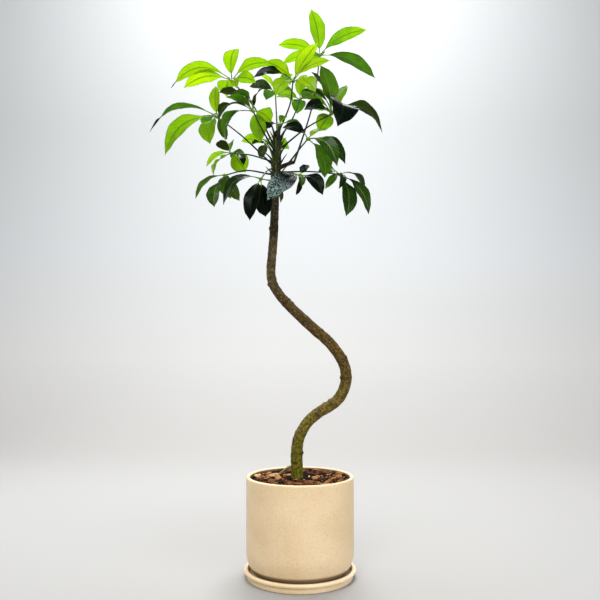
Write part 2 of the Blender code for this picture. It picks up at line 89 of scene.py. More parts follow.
# Soil, millimetres
SOIL_DEPTH = 5.8  # from the rim down to the soil
SOIL_SURFACE = POT_RIM_HEIGHT - SOIL_DEPTH
SOIL_GAP = 0.3  # from the pot
SOIL_HOLE_BOTTOM = 78.0
SOIL_HEAP = 1.5
SOIL_BEVEL = (1.0, 3.0)  # width and height by the wall
SOIL_RINGS = 34
SOIL_SIDES = 128
SOIL_LUMPS = ((90.0, 1.3), (330.0, 0.9))  # how many lumps to a metre, and how high they are

# Bark chips, millimetres and degrees
CHIPS = 32
CHIP_SEED = 6
CHIP_START = 4.0  # the spiral's middle stays free, as much as this many chips would take up
CHIP_LENGTH = (23.0, 35.0)
CHIP_LENGTH_OUTER = (18.0, 26.0)
CHIP_WIDTH = (12.0, 17.0)
CHIP_THICKNESS = (5.0, 7.5)
CHIP_REACH = 88.0
CHIP_LIMIT = 91.0
CHIP_OUTER_FROM = 72.0
CHIP_SWING = 0.5  # radians off the round
CHIP_SWING_OUTER = 0.25  # share of that near the wall
CHIP_TILT = 13.0
CHIP_LEAN = 9.0
CHIP_RISE = 1.6
CHIP_UNEVEN = 0.09  # how far a corner is out of place, as a share of the chip
CHIP_WEAR = 0.9
CHIP_FACET = 3.2  # edges longer than this are split before the face is roughened
CHIP_FIBRES = Vector((0.12, 0.5, 0.5))  # how fast the roughness changes along, across and up
CHIP_ROUGHNESS = 0.9
CHIP_SHADES = (-0.17, 0.17)  # darkest and lightest
CHIP_APART = Vector((7.3, 3.1, 1.7))  # gives each chip its own roughness
CHIP_GRAIN_APART = 10.0 * CHIP_APART

# Small broken bark between the chips, millimetres
CRUMBS = 260
CRUMB_REACH = 90.0
CRUMB_NEAREST = 0.02  # as a share of the bed
CRUMB_LENGTH = (4.0, 13.0)
CRUMB_WIDTH = (2.5, 5.5)
CRUMB_THICKNESS = (1.8, 3.6)
CRUMB_UNEVEN = (0.78, 1.12)
CRUMB_TIP = 0.35  # radians
CRUMB_RISE = (0.8, 2.6)
CRUMB_SHADES = (-0.22, 0.2)  # darkest and lightest
CRUMB_GRAIN_APART = Vector((31.0, 17.0, 0.0))

LEAF_LAYERS = ("tone", "lower", "dry", "sheen_specks")  # what each point of a leaflet tells its material
SIDE_VEINS = 9.5  # pairs on a leaflet
VEIN_SLANT = 0.26  # how far a side vein runs towards the tip on its way to the edge


# Colours and shader nodes

def linear(colour):
    """An sRGB hex colour as linear red, green, blue and alpha."""
    parts = [int(colour[i:i + 2], 16) / 255 for i in (0, 2, 4)]
    return (*[c / 12.92 if c <= 0.04045 else ((c + 0.055) / 1.055) ** 2.4 for c in parts], 1.0)


def cells(size):
    """The scale of a pattern with spots this many millimetres apart."""
    return 1.0 / (size * MM)


def add_node(tree, kind, inputs=None, stops=None, **settings):
    """Add a shader node with its settings, its colour stops, and its inputs: values or links."""
    made = tree.nodes.new("ShaderNode" + kind)
    for name, value in settings.items():
        setattr(made, name, value)
    if stops:
        ramp = made.color_ramp
        while len(ramp.elements) < len(stops):
            ramp.elements.new(1.0)
        for stop, (place, colour) in zip(ramp.elements, stops):
            stop.position = place
            stop.color = linear(colour)
    for socket, value in (inputs or {}).items():
        if isinstance(value, bpy.types.NodeSocket):
            tree.links.new(value, made.inputs[socket])
        else:
            made.inputs[socket].default_value = value
    return made


def new_material(name, roughness, ior=1.5, specular=0.5):
    """A material with its plain shader values, ready for its pattern."""
    material = bpy.data.materials.new(name)
    material.use_nodes = True
    tree = material.node_tree
    shader = tree.nodes["Principled BSDF"]
    shader.inputs["Roughness"].default_value = roughness
    shader.inputs["IOR"].default_value = ior
    shader.inputs["Specular IOR Level"].default_value = specular
    return material, tree, shader


def stoneware_glaze(name, shade, cream, light):
    """Stoneware under a thin satin glaze: warm cream, with fine darker iron specks and paler grains.

    Specks and grains are 1 mm or less on the real pot, and are drawn about 2 mm wide so that they show.
    """
    material, tree, shader = new_material(name, 0.42)
    place = add_node(tree, "TexCoord").outputs["Object"]
    cloud = add_node(
        tree, "TexNoise", {"Vector": place, "Scale": cells(71.4), "Detail": 3.0, "Roughness": 0.5}
    )
    body = add_node(
        tree, "ValToRGB", {0: cloud.outputs["Fac"]},
        stops=[(0.30, shade), (0.50, cream), (0.72, light)],
    )
    grain = add_node(tree, "TexNoise", {"Vector": place, "Scale": cells(2.08), "Detail": 2.0})
    grained = add_node(
        tree, "ValToRGB", {0: grain.outputs["Fac"]},
        stops=[(0.34, "e6dfd2"), (0.50, "fbf8f2"), (0.66, "ffffff")],
    )
    mixed = add_node(
        tree, "Mix", {0: 0.55, 6: body.outputs["Color"], 7: grained.outputs["Color"]},
        data_type="RGBA", blend_type="MULTIPLY",
    )
    # A speck in every fifth cell only, so they lie far and unevenly apart
    speck = add_node(tree, "TexVoronoi", {"Vector": place, "Scale": cells(5.26), "Randomness": 1.0})
    near = add_node(
        tree, "MapRange",
        {
            "Value": speck.outputs["Distance"], "From Min": 0.10, "From Max": 0.24,
            "To Min": 1.0, "To Max": 0.0,
        },
    )
    which = add_node(tree, "SeparateColor", {0: speck.outputs["Color"]})
    few = add_node(tree, "Math", {0: which.outputs[0], 1: 0.80}, operation="GREATER_THAN")
    dots = add_node(tree, "Math", {0: near.outputs[0], 1: few.outputs[0]}, operation="MULTIPLY")
    faint = add_node(tree, "Math", {0: dots.outputs[0], 1: 0.34}, operation="MULTIPLY")
    speckled = add_node(
        tree, "Mix", {0: faint.outputs[0], 6: mixed.outputs[2], 7: linear("a88a5c")}, data_type="RGBA"
    )
    # Painted shade in the saucer's groove and well, and earth with painted shade on the pot's inner wall,
    # darken the glaze towards 4a3420
    shade_and_earth = add_node(tree, "Attribute", attribute_name="shade_and_earth").outputs["Fac"]
    darkened = add_node(
        tree, "Mix", {0: shade_and_earth, 6: speckled.outputs[2], 7: linear("4a3420")}, data_type="RGBA"
    )
    tree.links.new(darkened.outputs[2], shader.inputs["Base Color"])
    soft = add_node(tree, "TexNoise", {"Vector": place, "Scale": cells(6.25), "Detail": 2.0})
    gloss = add_node(tree, "MapRange", {"Value": soft.outputs["Fac"], "To Min": 0.34, "To Max": 0.52})
    tree.links.new(gloss.outputs[0], shader.inputs["Roughness"])
    skin = add_node(
        tree, "Bump", {"Strength": 0.12, "Distance": 0.3 * MM, "Height": grain.outputs["Fac"]}
    )
    tree.links.new(skin.outputs[0], shader.inputs["Normal"])
    return material


def bark_skin():
    """Young bark: olive-green at the foot, grey-brown above, with pale breathing pores and dark scars.

    Pores are 1 to 2 mm across and 5 mm apart, as on the real stem. The colours follow the height in
    metres, and the line between two of them wanders up and down. A pale band near 0.59 m is a painted
    highlight, and the dark green-brown at the top, among the fronds, is painted shade.
    """
    material, tree, shader = new_material("young green-brown bark", 0.68, 1.45, 0.2)
    place = add_node(tree, "TexCoord").outputs["Object"]
    height = add_node(tree, "SeparateXYZ", {0: place}).outputs["Z"]
    drift = add_node(tree, "TexNoise", {"Vector": place, "Scale": cells(45.5), "Detail": 3.0})
    wander = add_node(tree, "MapRange", {"Value": drift.outputs["Fac"], "To Min": -0.10, "To Max": 0.10})
    level = add_node(tree, "Math", {0: height, 1: wander.outputs[0]}, operation="ADD")
    # Colours by height: the pale stop at 0.59 m is a painted highlight, the dark one at 0.84 m painted
    # shade
    base = add_node(
        tree, "ValToRGB", {0: level.outputs[0]},
        stops=[
            (0.19, "686a06"), (0.25, "6c680e"), (0.30, "7a6c2e"), (0.36, "665624"), (0.44, "59461c"),
            (0.54, "4e4022"), (0.59, "685e3e"), (0.64, "28220f"), (0.70, "343018"), (0.84, "2c3810"),
        ],
    )
    blotch = add_node(
        tree, "TexNoise", {"Vector": place, "Scale": cells(5.26), "Detail": 5.0, "Roughness": 0.7}
    )
    mottle = add_node(
        tree, "ValToRGB", {0: blotch.outputs["Fac"]},
        stops=[(0.34, "3c362c"), (0.45, "a89c88"), (0.56, "fff4dc"), (0.68, "ffffff")],
    )
    mottled = add_node(
        tree, "Mix", {0: 0.9, 6: base.outputs["Color"], 7: mottle.outputs["Color"]},
        data_type="RGBA", blend_type="MULTIPLY",
    )
    pores = add_node(tree, "TexVoronoi", {"Vector": place, "Scale": cells(4.76)})
    pale = add_node(
        tree, "MapRange",
        {
            "Value": pores.outputs["Distance"], "From Min": 0.12, "From Max": 0.26,
            "To Min": 0.4, "To Max": 0.0,
        },
    )
    pored = add_node(
        tree, "Mix", {0: pale.outputs[0], 6: mottled.outputs[2], 7: linear("b0a478")}, data_type="RGBA"
    )
    dry = add_node(tree, "Attribute", attribute_name="dry").outputs["Fac"]
    tanned = add_node(tree, "Mix", {0: dry, 6: pored.outputs[2], 7: linear("9a8a55")}, data_type="RGBA")
    scar = add_node(tree, "Attribute", attribute_name="scar").outputs["Fac"]
    marked = add_node(tree, "Mix", {0: scar, 6: tanned.outputs[2], 7: linear("2b2312")}, data_type="RGBA")
    tree.links.new(marked.outputs[2], shader.inputs["Base Color"])
    rough = add_node(tree, "TexNoise", {"Vector": place, "Scale": cells(2.38), "Detail": 3.0})
    ridge = add_node(tree, "Math", {0: rough.outputs["Fac"], 1: blotch.outputs["Fac"]}, operation="ADD")
    bumps = add_node(tree, "Bump", {"Strength": 0.8, "Distance": 1.0 * MM, "Height": ridge.outputs[0]})
    tree.links.new(bumps.outputs[0], shader.inputs["Normal"])
    return material


def bark_chip_wood():
    """Dry pine bark: red-brown with long dark fibres, each chip of its own shade.

    The pattern follows each chip's own place in millimetres: fibres 1 mm wide and 12 mm long.
    """
    material, tree, shader = new_material("dry bark chips", 0.85, 1.45, 0.15)
    own = add_node(tree, "Attribute", attribute_name="own").outputs["Vector"]
    shade = add_node(tree, "Attribute", attribute_name="shade").outputs["Fac"]
    stretched = add_node(tree, "Mapping", {"Vector": own, "Scale": (0.08, 1.0, 1.0)})
    fibre = add_node(
        tree, "TexNoise",
        {"Vector": stretched.outputs[0], "Scale": 1.0, "Detail": 5.0, "Roughness": 0.65},
    )
    both = add_node(tree, "Math", {0: fibre.outputs["Fac"], 1: shade}, operation="ADD")
    colour = add_node(
        tree, "ValToRGB", {0: both.outputs[0]},
        stops=[(0.32, "120600"), (0.45, "442008"), (0.56, "7a4a22"), (0.69, "ae8050"), (0.84, "ecc8a4")],
    )
    tree.links.new(colour.outputs["Color"], shader.inputs["Base Color"])
    bumps = add_node(
        tree, "Bump", {"Strength": 0.7, "Distance": 0.8 * MM, "Height": fibre.outputs["Fac"]}
    )
    tree.links.new(bumps.outputs[0], shader.inputs["Normal"])
    return material


def potting_mix():
    """Dark damp peat with small paler crumbs, 3 to 4 mm across.

    Its near-black parts paint the shade in the gaps between the chips.
    """
    material, tree, shader = new_material("potting mix", 0.95, 1.4, 0.1)
    place = add_node(tree, "TexCoord").outputs["Object"]
    crumb = add_node(tree, "TexVoronoi", {"Vector": place, "Scale": cells(3.03)})
    mixed = add_node(tree, "TexNoise", {"Vector": place, "Scale": cells(4.17), "Detail": 4.0})
    both = add_node(
        tree, "Math", {0: mixed.outputs["Fac"], 1: crumb.outputs["Distance"]}, operation="SUBTRACT"
    )
    # The near-black stops paint the shade in the gaps between the chips
    colour = add_node(
        tree, "ValToRGB", {0: both.outputs[0]},
        stops=[(0.0, "0a0402"), (0.22, "1c0e06"), (0.45, "38200f"), (0.62, "5c3e24")],
    )
    tree.links.new(colour.outputs["Color"], shader.inputs["Base Color"])
    bumps = add_node(tree, "Bump", {"Strength": 0.9, "Distance": 1.2 * MM, "Height": both.outputs[0]})
    tree.links.new(bumps.outputs[0], shader.inputs["Normal"])
    return material


def leaf_lines(tree, sheet):
    """The rib with its side veins, and the thick rim of a leaflet, each strongest where it is near 1.

    sheet is the leaflet's own map, which runs along it in X and across it in Y.
    """
    across = add_node(tree, "SeparateXYZ", {0: sheet})
    offset = add_node(tree, "Math", {0: across.outputs["Y"], 1: 0.5}, operation="SUBTRACT")
    away = add_node(tree, "Math", {0: offset.outputs[0]}, operation="ABSOLUTE")
    rib = add_node(
        tree, "MapRange",
        {"Value": away.outputs[0], "From Min": 0.012, "From Max": 0.045, "To Min": 1.0, "To Max": 0.0},
    )
    sweep = add_node(tree, "Math", {0: away.outputs[0], 1: 2 * VEIN_SLANT}, operation="MULTIPLY")
    slanted = add_node(tree, "Math", {0: across.outputs["X"], 1: sweep.outputs[0]}, operation="SUBTRACT")
    repeated = add_node(tree, "Math", {0: slanted.outputs[0], 1: SIDE_VEINS}, operation="MULTIPLY")
    within = add_node(tree, "Math", {0: repeated.outputs[0]}, operation="FRACT")
    centred = add_node(tree, "Math", {0: within.outputs[0], 1: 0.5}, operation="SUBTRACT")
    distance = add_node(tree, "Math", {0: centred.outputs[0]}, operation="ABSOLUTE")
    veins = add_node(
        tree, "MapRange",
        {"Value": distance.outputs[0], "From Min": 0.02, "From Max": 0.13, "To Min": 0.42, "To Max": 0.0},
    )
    lines = add_node(tree, "Math", {0: rib.outputs[0], 1: veins.outputs[0]}, operation="MAXIMUM")
    rim = add_node(
        tree, "MapRange",
        {"Value": away.outputs[0], "From Min": 0.44, "From Max": 0.5, "To Min": 0.0, "To Max": 0.45},
    )
    return lines.outputs[0], rim.outputs[0]


def leaf_green(tree, level, lines, rim):
    """The skin's colour, from dark to lime, with a dark rim: partly its age, from old to young, and partly
    painted shade and painted light.

    Veins are paler than the skin on a dark leaflet, and darker on a lime one, where they are painted as
    ribs seen against the light.
    """
    green = add_node(
        tree, "ValToRGB", {0: level},
        stops=[
            (0.00, "031106"), (0.14, "0b2a06"), (0.32, "2b5604"), (0.52, "5b8e04"),
            (0.74, "8cb004"), (1.00, "acc80c"),
        ],
    )
    ribbed = add_node(
        tree, "ValToRGB", {0: level},
        stops=[
            (0.0, "1a2a12"), (0.2, "6c8236"), (0.38, "b4c878"), (0.58, "a4c054"),
            (0.76, "568404"), (1.0, "6c9a04"),
        ],
    )
    faint = add_node(tree, "Math", {0: lines, 1: 0.8}, operation="MULTIPLY")
    veined = add_node(
        tree, "Mix", {0: faint.outputs[0], 6: green.outputs["Color"], 7: ribbed.outputs["Color"]},
        data_type="RGBA",
    )
    rimmed = add_node(tree, "Mix", {0: rim, 6: veined.outputs[2], 7: linear("2a4206")}, data_type="RGBA")
    return rimmed.outputs[2]


def leaf_glow(tree, level, lines, rim):
    """The colour of the light that comes through the leaf, dimmer where a vein or the rim is thick."""
    glow = add_node(
        tree, "ValToRGB", {0: level},
        stops=[
            (0.00, "000400"), (0.16, "0a2402"), (0.34, "2c5a02"), (0.52, "74b004"),
            (0.74, "c6ea04"), (1.00, "e8ff10"),
        ],
    )
    thick = add_node(tree, "Math", {0: lines, 1: rim}, operation="MAXIMUM")
    dimming = add_node(tree, "Math", {0: thick.outputs[0], 1: 0.65}, operation="MULTIPLY")
    dimmed = add_node(
        tree, "Mix", {0: dimming.outputs[0], 6: glow.outputs["Color"], 7: linear("1a4202")},
        data_type="RGBA",
    )
    return dimmed.outputs[2]


def leaf_skin():
    """A glossy leaf with a waxy skin, and the light that shines through it: lime green partly where it is
    young, partly as painted light.

    The tone attribute runs from 0, dark, to 1, lime: partly the leaflet's age, from old to young, and
    partly painted shade and painted light, as each leaflet was lit. The lower side is duller and
    yellower, dry parts are brown, and a painted sheen in pale specks, partly hard-water spots, lightens a
    few old leaflets. Its grains are well under 1 mm on a real leaf and are drawn 3 mm apart so that they
    show.
    """
    material, tree, shader = new_material("glossy umbrella leaf", 0.3, 1.38, 0.24)
    place = add_node(tree, "TexCoord")
    lines, rim = leaf_lines(tree, place.outputs["UV"])
    tone, lower, dry, sheen_specks = [
        add_node(tree, "Attribute", attribute_name=name).outputs["Fac"] for name in LEAF_LAYERS
    ]
    cloud = add_node(
        tree, "TexNoise", {"Vector": place.outputs["Object"], "Scale": cells(15.4), "Detail": 4.0}
    )
    drift = add_node(tree, "MapRange", {"Value": cloud.outputs["Fac"], "To Min": -0.14, "To Max": 0.14})
    level = add_node(tree, "Math", {0: tone, 1: drift.outputs[0]}, operation="ADD").outputs[0]
    skin = leaf_green(tree, level, lines, rim)
    half = add_node(tree, "Math", {0: lower, 1: 0.25}, operation="MULTIPLY")
    sided = add_node(tree, "Mix", {0: half.outputs[0], 6: skin, 7: linear("88a838")}, data_type="RGBA")
    # Painted sheen: pale blue-green specks, partly hard-water spots, on a few old leaflets
    sheen_noise = add_node(
        tree, "TexNoise", {"Vector": place.outputs["Object"], "Scale": cells(2.94), "Detail": 3.0}
    )
    spots = add_node(tree, "MapRange", {"Value": sheen_noise.outputs["Fac"], "From Min": 0.42, "From Max": 0.58})
    sheen_mask = add_node(tree, "Math", {0: sheen_specks, 1: spots.outputs[0]}, operation="MULTIPLY")
    sheened = add_node(
        tree, "Mix", {0: sheen_mask.outputs[0], 6: sided.outputs[2], 7: linear("b2d0cc")}, data_type="RGBA"
    )
    withered = add_node(tree, "Mix", {0: dry, 6: sheened.outputs[2], 7: linear("2c2412")}, data_type="RGBA")
    tree.links.new(withered.outputs[2], shader.inputs["Base Color"])
    dull = add_node(tree, "MapRange", {"Value": lower, "To Min": 0.22, "To Max": 0.42})
    tree.links.new(dull.outputs[0], shader.inputs["Roughness"])
    relief = add_node(tree, "Math", {0: lines, 1: -1.0}, operation="MULTIPLY")
    bumps = add_node(tree, "Bump", {"Strength": 0.35, "Distance": 0.5 * MM, "Height": relief.outputs[0]})
    tree.links.new(bumps.outputs[0], shader.inputs["Normal"])
    glow = leaf_glow(tree, level, lines, rim)
    bright = add_node(tree, "Mix", {0: 0.8, 6: withered.outputs[2], 7: glow}, data_type="RGBA")
    dead = add_node(tree, "Mix", {0: dry, 6: bright.outputs[2], 7: linear("20190c")}, data_type="RGBA")
    through = add_node(tree, "BsdfTranslucent", {"Color": dead.outputs[2]})
    both = add_node(tree, "MixShader", {0: 0.56, 1: shader.outputs[0], 2: through.outputs[0]})
    tree.links.new(both.outputs[0], tree.nodes["Material Output"].inputs["Surface"])
    return material


def stalk_skin():
    """A leaf stalk, slightly waxy: fresh green towards the leaflets, near black towards its foot.

    The dark part is woody brown with painted shade, as of a stalk seen against the light.
    """
    material, tree, shader = new_material("green leaf stalk", 0.42, 1.45, 0.25)
    reach = add_node(tree, "Attribute", attribute_name="reach").outputs["Fac"]
    place = add_node(tree, "TexCoord").outputs["Object"]
    streak = add_node(tree, "TexNoise", {"Vector": place, "Scale": cells(8.33), "Detail": 3.0})
    drift = add_node(tree, "MapRange", {"Value": streak.outputs["Fac"], "To Min": -0.2, "To Max": 0.2})
    level = add_node(tree, "Math", {0: reach, 1: drift.outputs[0]}, operation="ADD")
    # Near black up to 0.6 of the way: woody brown with painted shade
    colour = add_node(
        tree, "ValToRGB", {0: level.outputs[0]},
        stops=[(0.0, "1e180a"), (0.2, "1a1a08"), (0.6, "1c260a"), (0.82, "3a5a10"), (1.0, "6c9022")],
    )
    tree.links.new(colour.outputs["Color"], shader.inputs["Base Color"])
    bumps = add_node(
        tree, "Bump", {"Strength": 0.3, "Distance": 0.3 * MM, "Height": streak.outputs["Fac"]}
    )
    tree.links.new(bumps.outputs[0], shader.inputs["Normal"])
    return material


def studio_paper():
    """Matt backdrop paper, a little greyer on the floor than on the wall."""
    material, tree, shader = new_material("backdrop paper", 0.9)
    place = add_node(tree, "TexCoord").outputs["Object"]
    height = add_node(tree, "SeparateXYZ", {0: place}).outputs["Z"]
    colour = add_node(
        tree, "ValToRGB", {0: height}, stops=[(0.0, "9f9d9a"), (0.35, "adacaa"), (0.9, "b0b2b3")]
    )
    tree.links.new(colour.outputs["Color"], shader.inputs["Base Color"])
    return material


# Shapes

def clamp(value, high=1.0):
    """The value, but not below 0 or above the highest."""
    return min(max(value, 0.0), high)


def spoke(turn):
    """The level direction at a turn round the upright, in radians."""
    return Vector((math.cos(turn), math.sin(turn), 0.0))


def lumpiness(place, lumps):
    """The height in mm of a rough surface at a place, from how many lumps to a metre and how high."""
    return sum(noise.noise(place * often) * high for often, high in lumps)


def add_object(name, data):
    """An object of a mesh, curve, light or camera, in the scene."""
    thing = bpy.data.objects.new(name, data)
    bpy.context.scene.collection.objects.link(thing)
    return thing


def mesh_from(name, shape):
    """A mesh of a bmesh, which is freed."""
    mesh = bpy.data.meshes.new(name)
    shape.to_mesh(mesh)
    shape.free()
    return mesh


def gathered(meshes):
    """One bmesh of several small meshes and their attributes."""
    shape = bmesh.new()
    for mesh in meshes:
        shape.from_mesh(mesh)
        bpy.data.meshes.remove(mesh)
    return shape


def add_piece(name, shape, material, node, sharp):
    """Make a piece of a bmesh, in place of a node of the frame, with its material and shading.

    Edges that turn by more than sharp degrees stay crisp.
    """
    piece = add_object(name, mesh_from(name, shape))
    piece.data.materials.append(material)
    piece.data.shade_smooth()
    piece.data.set_sharp_from_angle(angle=math.radians(sharp))
    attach(piece, "root")
    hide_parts(node)


def arc(centre, radii, start, end, steps):
    """Points of an elliptical arc in a profile, angles in degrees, both ends included."""
    turns = [math.radians(start + (end - start) * i / steps) for i in range(steps + 1)]
    return [(centre[0] + radii[0] * math.cos(a), centre[1] + radii[1] * math.sin(a)) for a in turns]


def turned(profile, sides):
    """A body of revolution about Z as a bmesh. The profile is (radius, height) in mm."""
    shape = bmesh.new()
    points = [shape.verts.new((r * MM, 0.0, z * MM)) for r, z in profile]
    lines = [shape.edges.new(pair) for pair in zip(points, points[1:])]
    bmesh.ops.spin(
        shape, geom=points + lines, axis=UP, cent=(0, 0, 0), angle=math.tau, steps=sides, use_merge=True
    )
    bmesh.ops.remove_doubles(shape, verts=shape.verts, dist=MERGE)
    bmesh.ops.recalc_face_normals(shape, faces=shape.faces)
    return shape


def smooth_path(points, steps):
    """A Catmull-Rom curve through points or plain numbers, with that many steps from each to the next."""
    ends = [points[0] * 2 - points[1], *points, points[-1] * 2 - points[-2]]
    path = []
    for a, b, c, d in zip(ends, ends[1:], ends[2:], ends[3:]):
        for i in range(steps):
            t = i / steps
            path.append(
                0.5 * ((2 * b) + (c - a) * t + (2 * a - 5 * b + 4 * c - d) * t**2
                       + (3 * b - a - 3 * c + d) * t**3)
            )
    return [*path, points[-1]]


def search_tree(path):
    """A tree that finds the nearest point of a path and its number."""
    tree = kdtree.KDTree(len(path))
    for number, place in enumerate(path):
        tree.insert(place, number)
    tree.balance()
    return tree


def tube(path, radii, sides):
    """A round rod along a path, with a radius at each point and closed ends, as a bmesh."""
    curve = bpy.data.curves.new("guide", "CURVE")
    curve.dimensions = "3D"
    curve.bevel_depth = 1.0
    curve.bevel_resolution = (sides - 4) // 2  # a round bevel has 4 sides, and 2 more for each step
    curve.use_fill_caps = True
    spline = curve.splines.new("POLY")
    spline.points.add(len(path) - 1)
    for point, place, radius in zip(spline.points, path, radii):
        point.co = (*place, 1.0)
        point.radius = radius
    guide = add_object("guide", curve)
    bpy.context.view_layer.update()
    mesh = bpy.data.meshes.new_from_object(guide.evaluated_get(bpy.context.evaluated_depsgraph_get()))
    bpy.data.objects.remove(guide, do_unlink=True)
    shape = gathered([mesh])
    bmesh.ops.remove_doubles(shape, verts=shape.verts, dist=MERGE)
    bmesh.ops.recalc_face_normals(shape, faces=shape.faces)
    return shape


# Saucer and pot

def pot_outside(height):
    """Outer radius of the pot at a height above its underside, in mm."""
    down = max(1.0 - height / POT_BEND_HEIGHT, 0.0)
    return POT_RADIUS - POT_BEND_WIDTH * (1.0 - math.sqrt(1.0 - down * down))


def make_saucer(material):
    """A thick dish: a plain foot, a shadow line, a rolled lip and a well with a rounded corner."""
    foot = SAUCER_FOOT_RADIUS
    foot_round = (SAUCER_FOOT_ROUND, SAUCER_FOOT_ROUND)
    shoulder = (foot - SAUCER_SHOULDER[0], SAUCER_FOOT_HEIGHT - SAUCER_SHOULDER[1])
    lip_inner = SAUCER_LIP_RADIUS - SAUCER_LIP_WIDTH
    lip_middle = (SAUCER_LIP_BOTTOM + SAUCER_HEIGHT) / 2
    outer = (SAUCER_LIP_RADIUS - SAUCER_LIP_ROUND, lip_middle)
    inner = (lip_inner + SAUCER_LIP_INNER_ROUND, SAUCER_HEIGHT - SAUCER_LIP_INNER_ROUND)
    corner = (
        lip_inner - SAUCER_WELL_LEAN - SAUCER_WELL, SAUCER_HEIGHT - SAUCER_LIP_ROUND - SAUCER_FLOOR
    )
    profile = [
        (0.0, 0.0),
        (foot - SAUCER_UNDER_FLAT, 0.0),
        (foot - SAUCER_FOOT_ROUND - 0.2, 0.0),
        *arc((foot - SAUCER_FOOT_ROUND, SAUCER_FOOT_ROUND), foot_round, -80, 0, 4),
        (foot, SAUCER_FOOT_HEIGHT - 1.0),
        *arc(shoulder, SAUCER_SHOULDER, 20, 90, 3),
        (foot - SAUCER_GROOVE, SAUCER_FOOT_HEIGHT + 0.2),
        (foot - SAUCER_GROOVE, SAUCER_LIP_BOTTOM - 0.1),
        *arc(outer, (SAUCER_LIP_ROUND, SAUCER_HEIGHT - lip_middle), -80, 90, 14),
        *arc(inner, (SAUCER_LIP_INNER_ROUND, SAUCER_LIP_INNER_ROUND), 90, 180, 5),
        *arc((SAUCER_WELL, SAUCER_FLOOR + corner[1]), corner, 0, -90, 10),
        (SAUCER_WELL - SAUCER_WELL_FLAT, SAUCER_FLOOR),
        (0.0, SAUCER_FLOOR),
    ]
    shape = turned(profile, SAUCER_SIDES)
    shade_and_earth = shape.verts.layers.float.new("shade_and_earth")
    # Painted shade: dark in the groove under the lip, lighter in the well round the pot's foot
    for point in shape.verts:
        reach, height = point.co.xy.length / MM, point.co.z / MM
        inside = reach < lip_inner - 0.4 and height > 1.0
        shadow = reach < foot - 1.5 and SAUCER_FOOT_HEIGHT < height < SAUCER_LIP_BOTTOM
        point[shade_and_earth] = GROOVE_SHADE if shadow else WELL_SHADE if inside else 0.0
    add_piece("stoneware_saucer", shape, material, "saucer", sharp=40.0)


def make_pot(material):
    """A straight round pot with a rounded bottom edge and a soft rim."""
    heights = [POT_BEND_HEIGHT * (1 - math.cos(math.radians(a))) for a in range(0, 91, 6)]
    outside = [(pot_outside(h), POT_BASE + h) for h in heights]
    walls = [(POT_RADIUS, z) for z in POT_RINGS]
    top = POT_RIM_HEIGHT - RIM_ROUND
    rim = arc((POT_RADIUS - POT_WALL / 2, top), (POT_WALL / 2, RIM_ROUND), 0, 180, 16)
    radius = POT_RADIUS - POT_WALL
    floor = POT_BASE + POT_FLOOR
    middle = (radius - POT_BEND_WIDTH, floor + POT_BEND_INSIDE)
    bend = arc(middle, (POT_BEND_WIDTH, POT_BEND_INSIDE), 0, -90, 8)
    inner = [(radius, POT_RIM_HEIGHT - RIM_INSIDE), (radius, POT_RINGS[-2])]
    shape = turned([(0.0, POT_BASE), *outside, *walls, *rim, *inner, *bend, (0.0, floor)], POT_SIDES)
    shade_and_earth = shape.verts.layers.float.new("shade_and_earth")
    # Earth and painted shade on the inner wall, below the rim
    for point in shape.verts:
        inside = point.co.xy.length < (radius + 0.5) * MM
        below = POT_FLOOR * MM < point.co.z < (POT_RIM_HEIGHT - 2.0) * MM
        point[shade_and_earth] = POT_INSIDE_EARTH_AND_SHADE if inside and below else 0.0
    add_piece("stoneware_pot", shape, material, "pot", sharp=40.0)


# Soil

def bed_place(turn, reach, lift):
    """A place on the soil, in metres: its turn in radians, and its reach and its lift in mm."""
    return Matrix.Translation((spoke(turn) * reach + UP * (SOIL_SURFACE + lift)) * MM)


def keep_grain(shape, offset, tone):
    """Store where each point is in its own piece of bark, in mm, and how light the piece is."""
    own = shape.verts.layers.float_vector.new("own")
    shade = shape.verts.layers.float.new("shade")
    for point in shape.verts:
        point[own] = point.co + offset
        point[shade] = tone


def roughen_chip(shape, number):
    """Round a chip's edges, split its faces and make them rough, all in mm."""
    bmesh.ops.bevel(
        shape, geom=shape.edges[:], offset=CHIP_WEAR, offset_type="OFFSET", segments=2, profile=0.5,
        affect="EDGES", material=-1,
    )
    bmesh.ops.triangulate(shape, faces=shape.faces)
    long = [edge for edge in shape.edges if edge.calc_length() > CHIP_FACET]
    bmesh.ops.subdivide_edges(shape, edges=long, cuts=2, use_grid_fill=True)
    bmesh.ops.triangulate(shape, faces=shape.faces)
    darkest, lightest = CHIP_SHADES
    keep_grain(shape, CHIP_GRAIN_APART * number, darkest + (lightest - darkest) * noise.random())
    for point in shape.verts:
        rough = noise.noise(point.co * CHIP_FIBRES + CHIP_APART * number)
        point.co += point.normal * rough * CHIP_ROUGHNESS


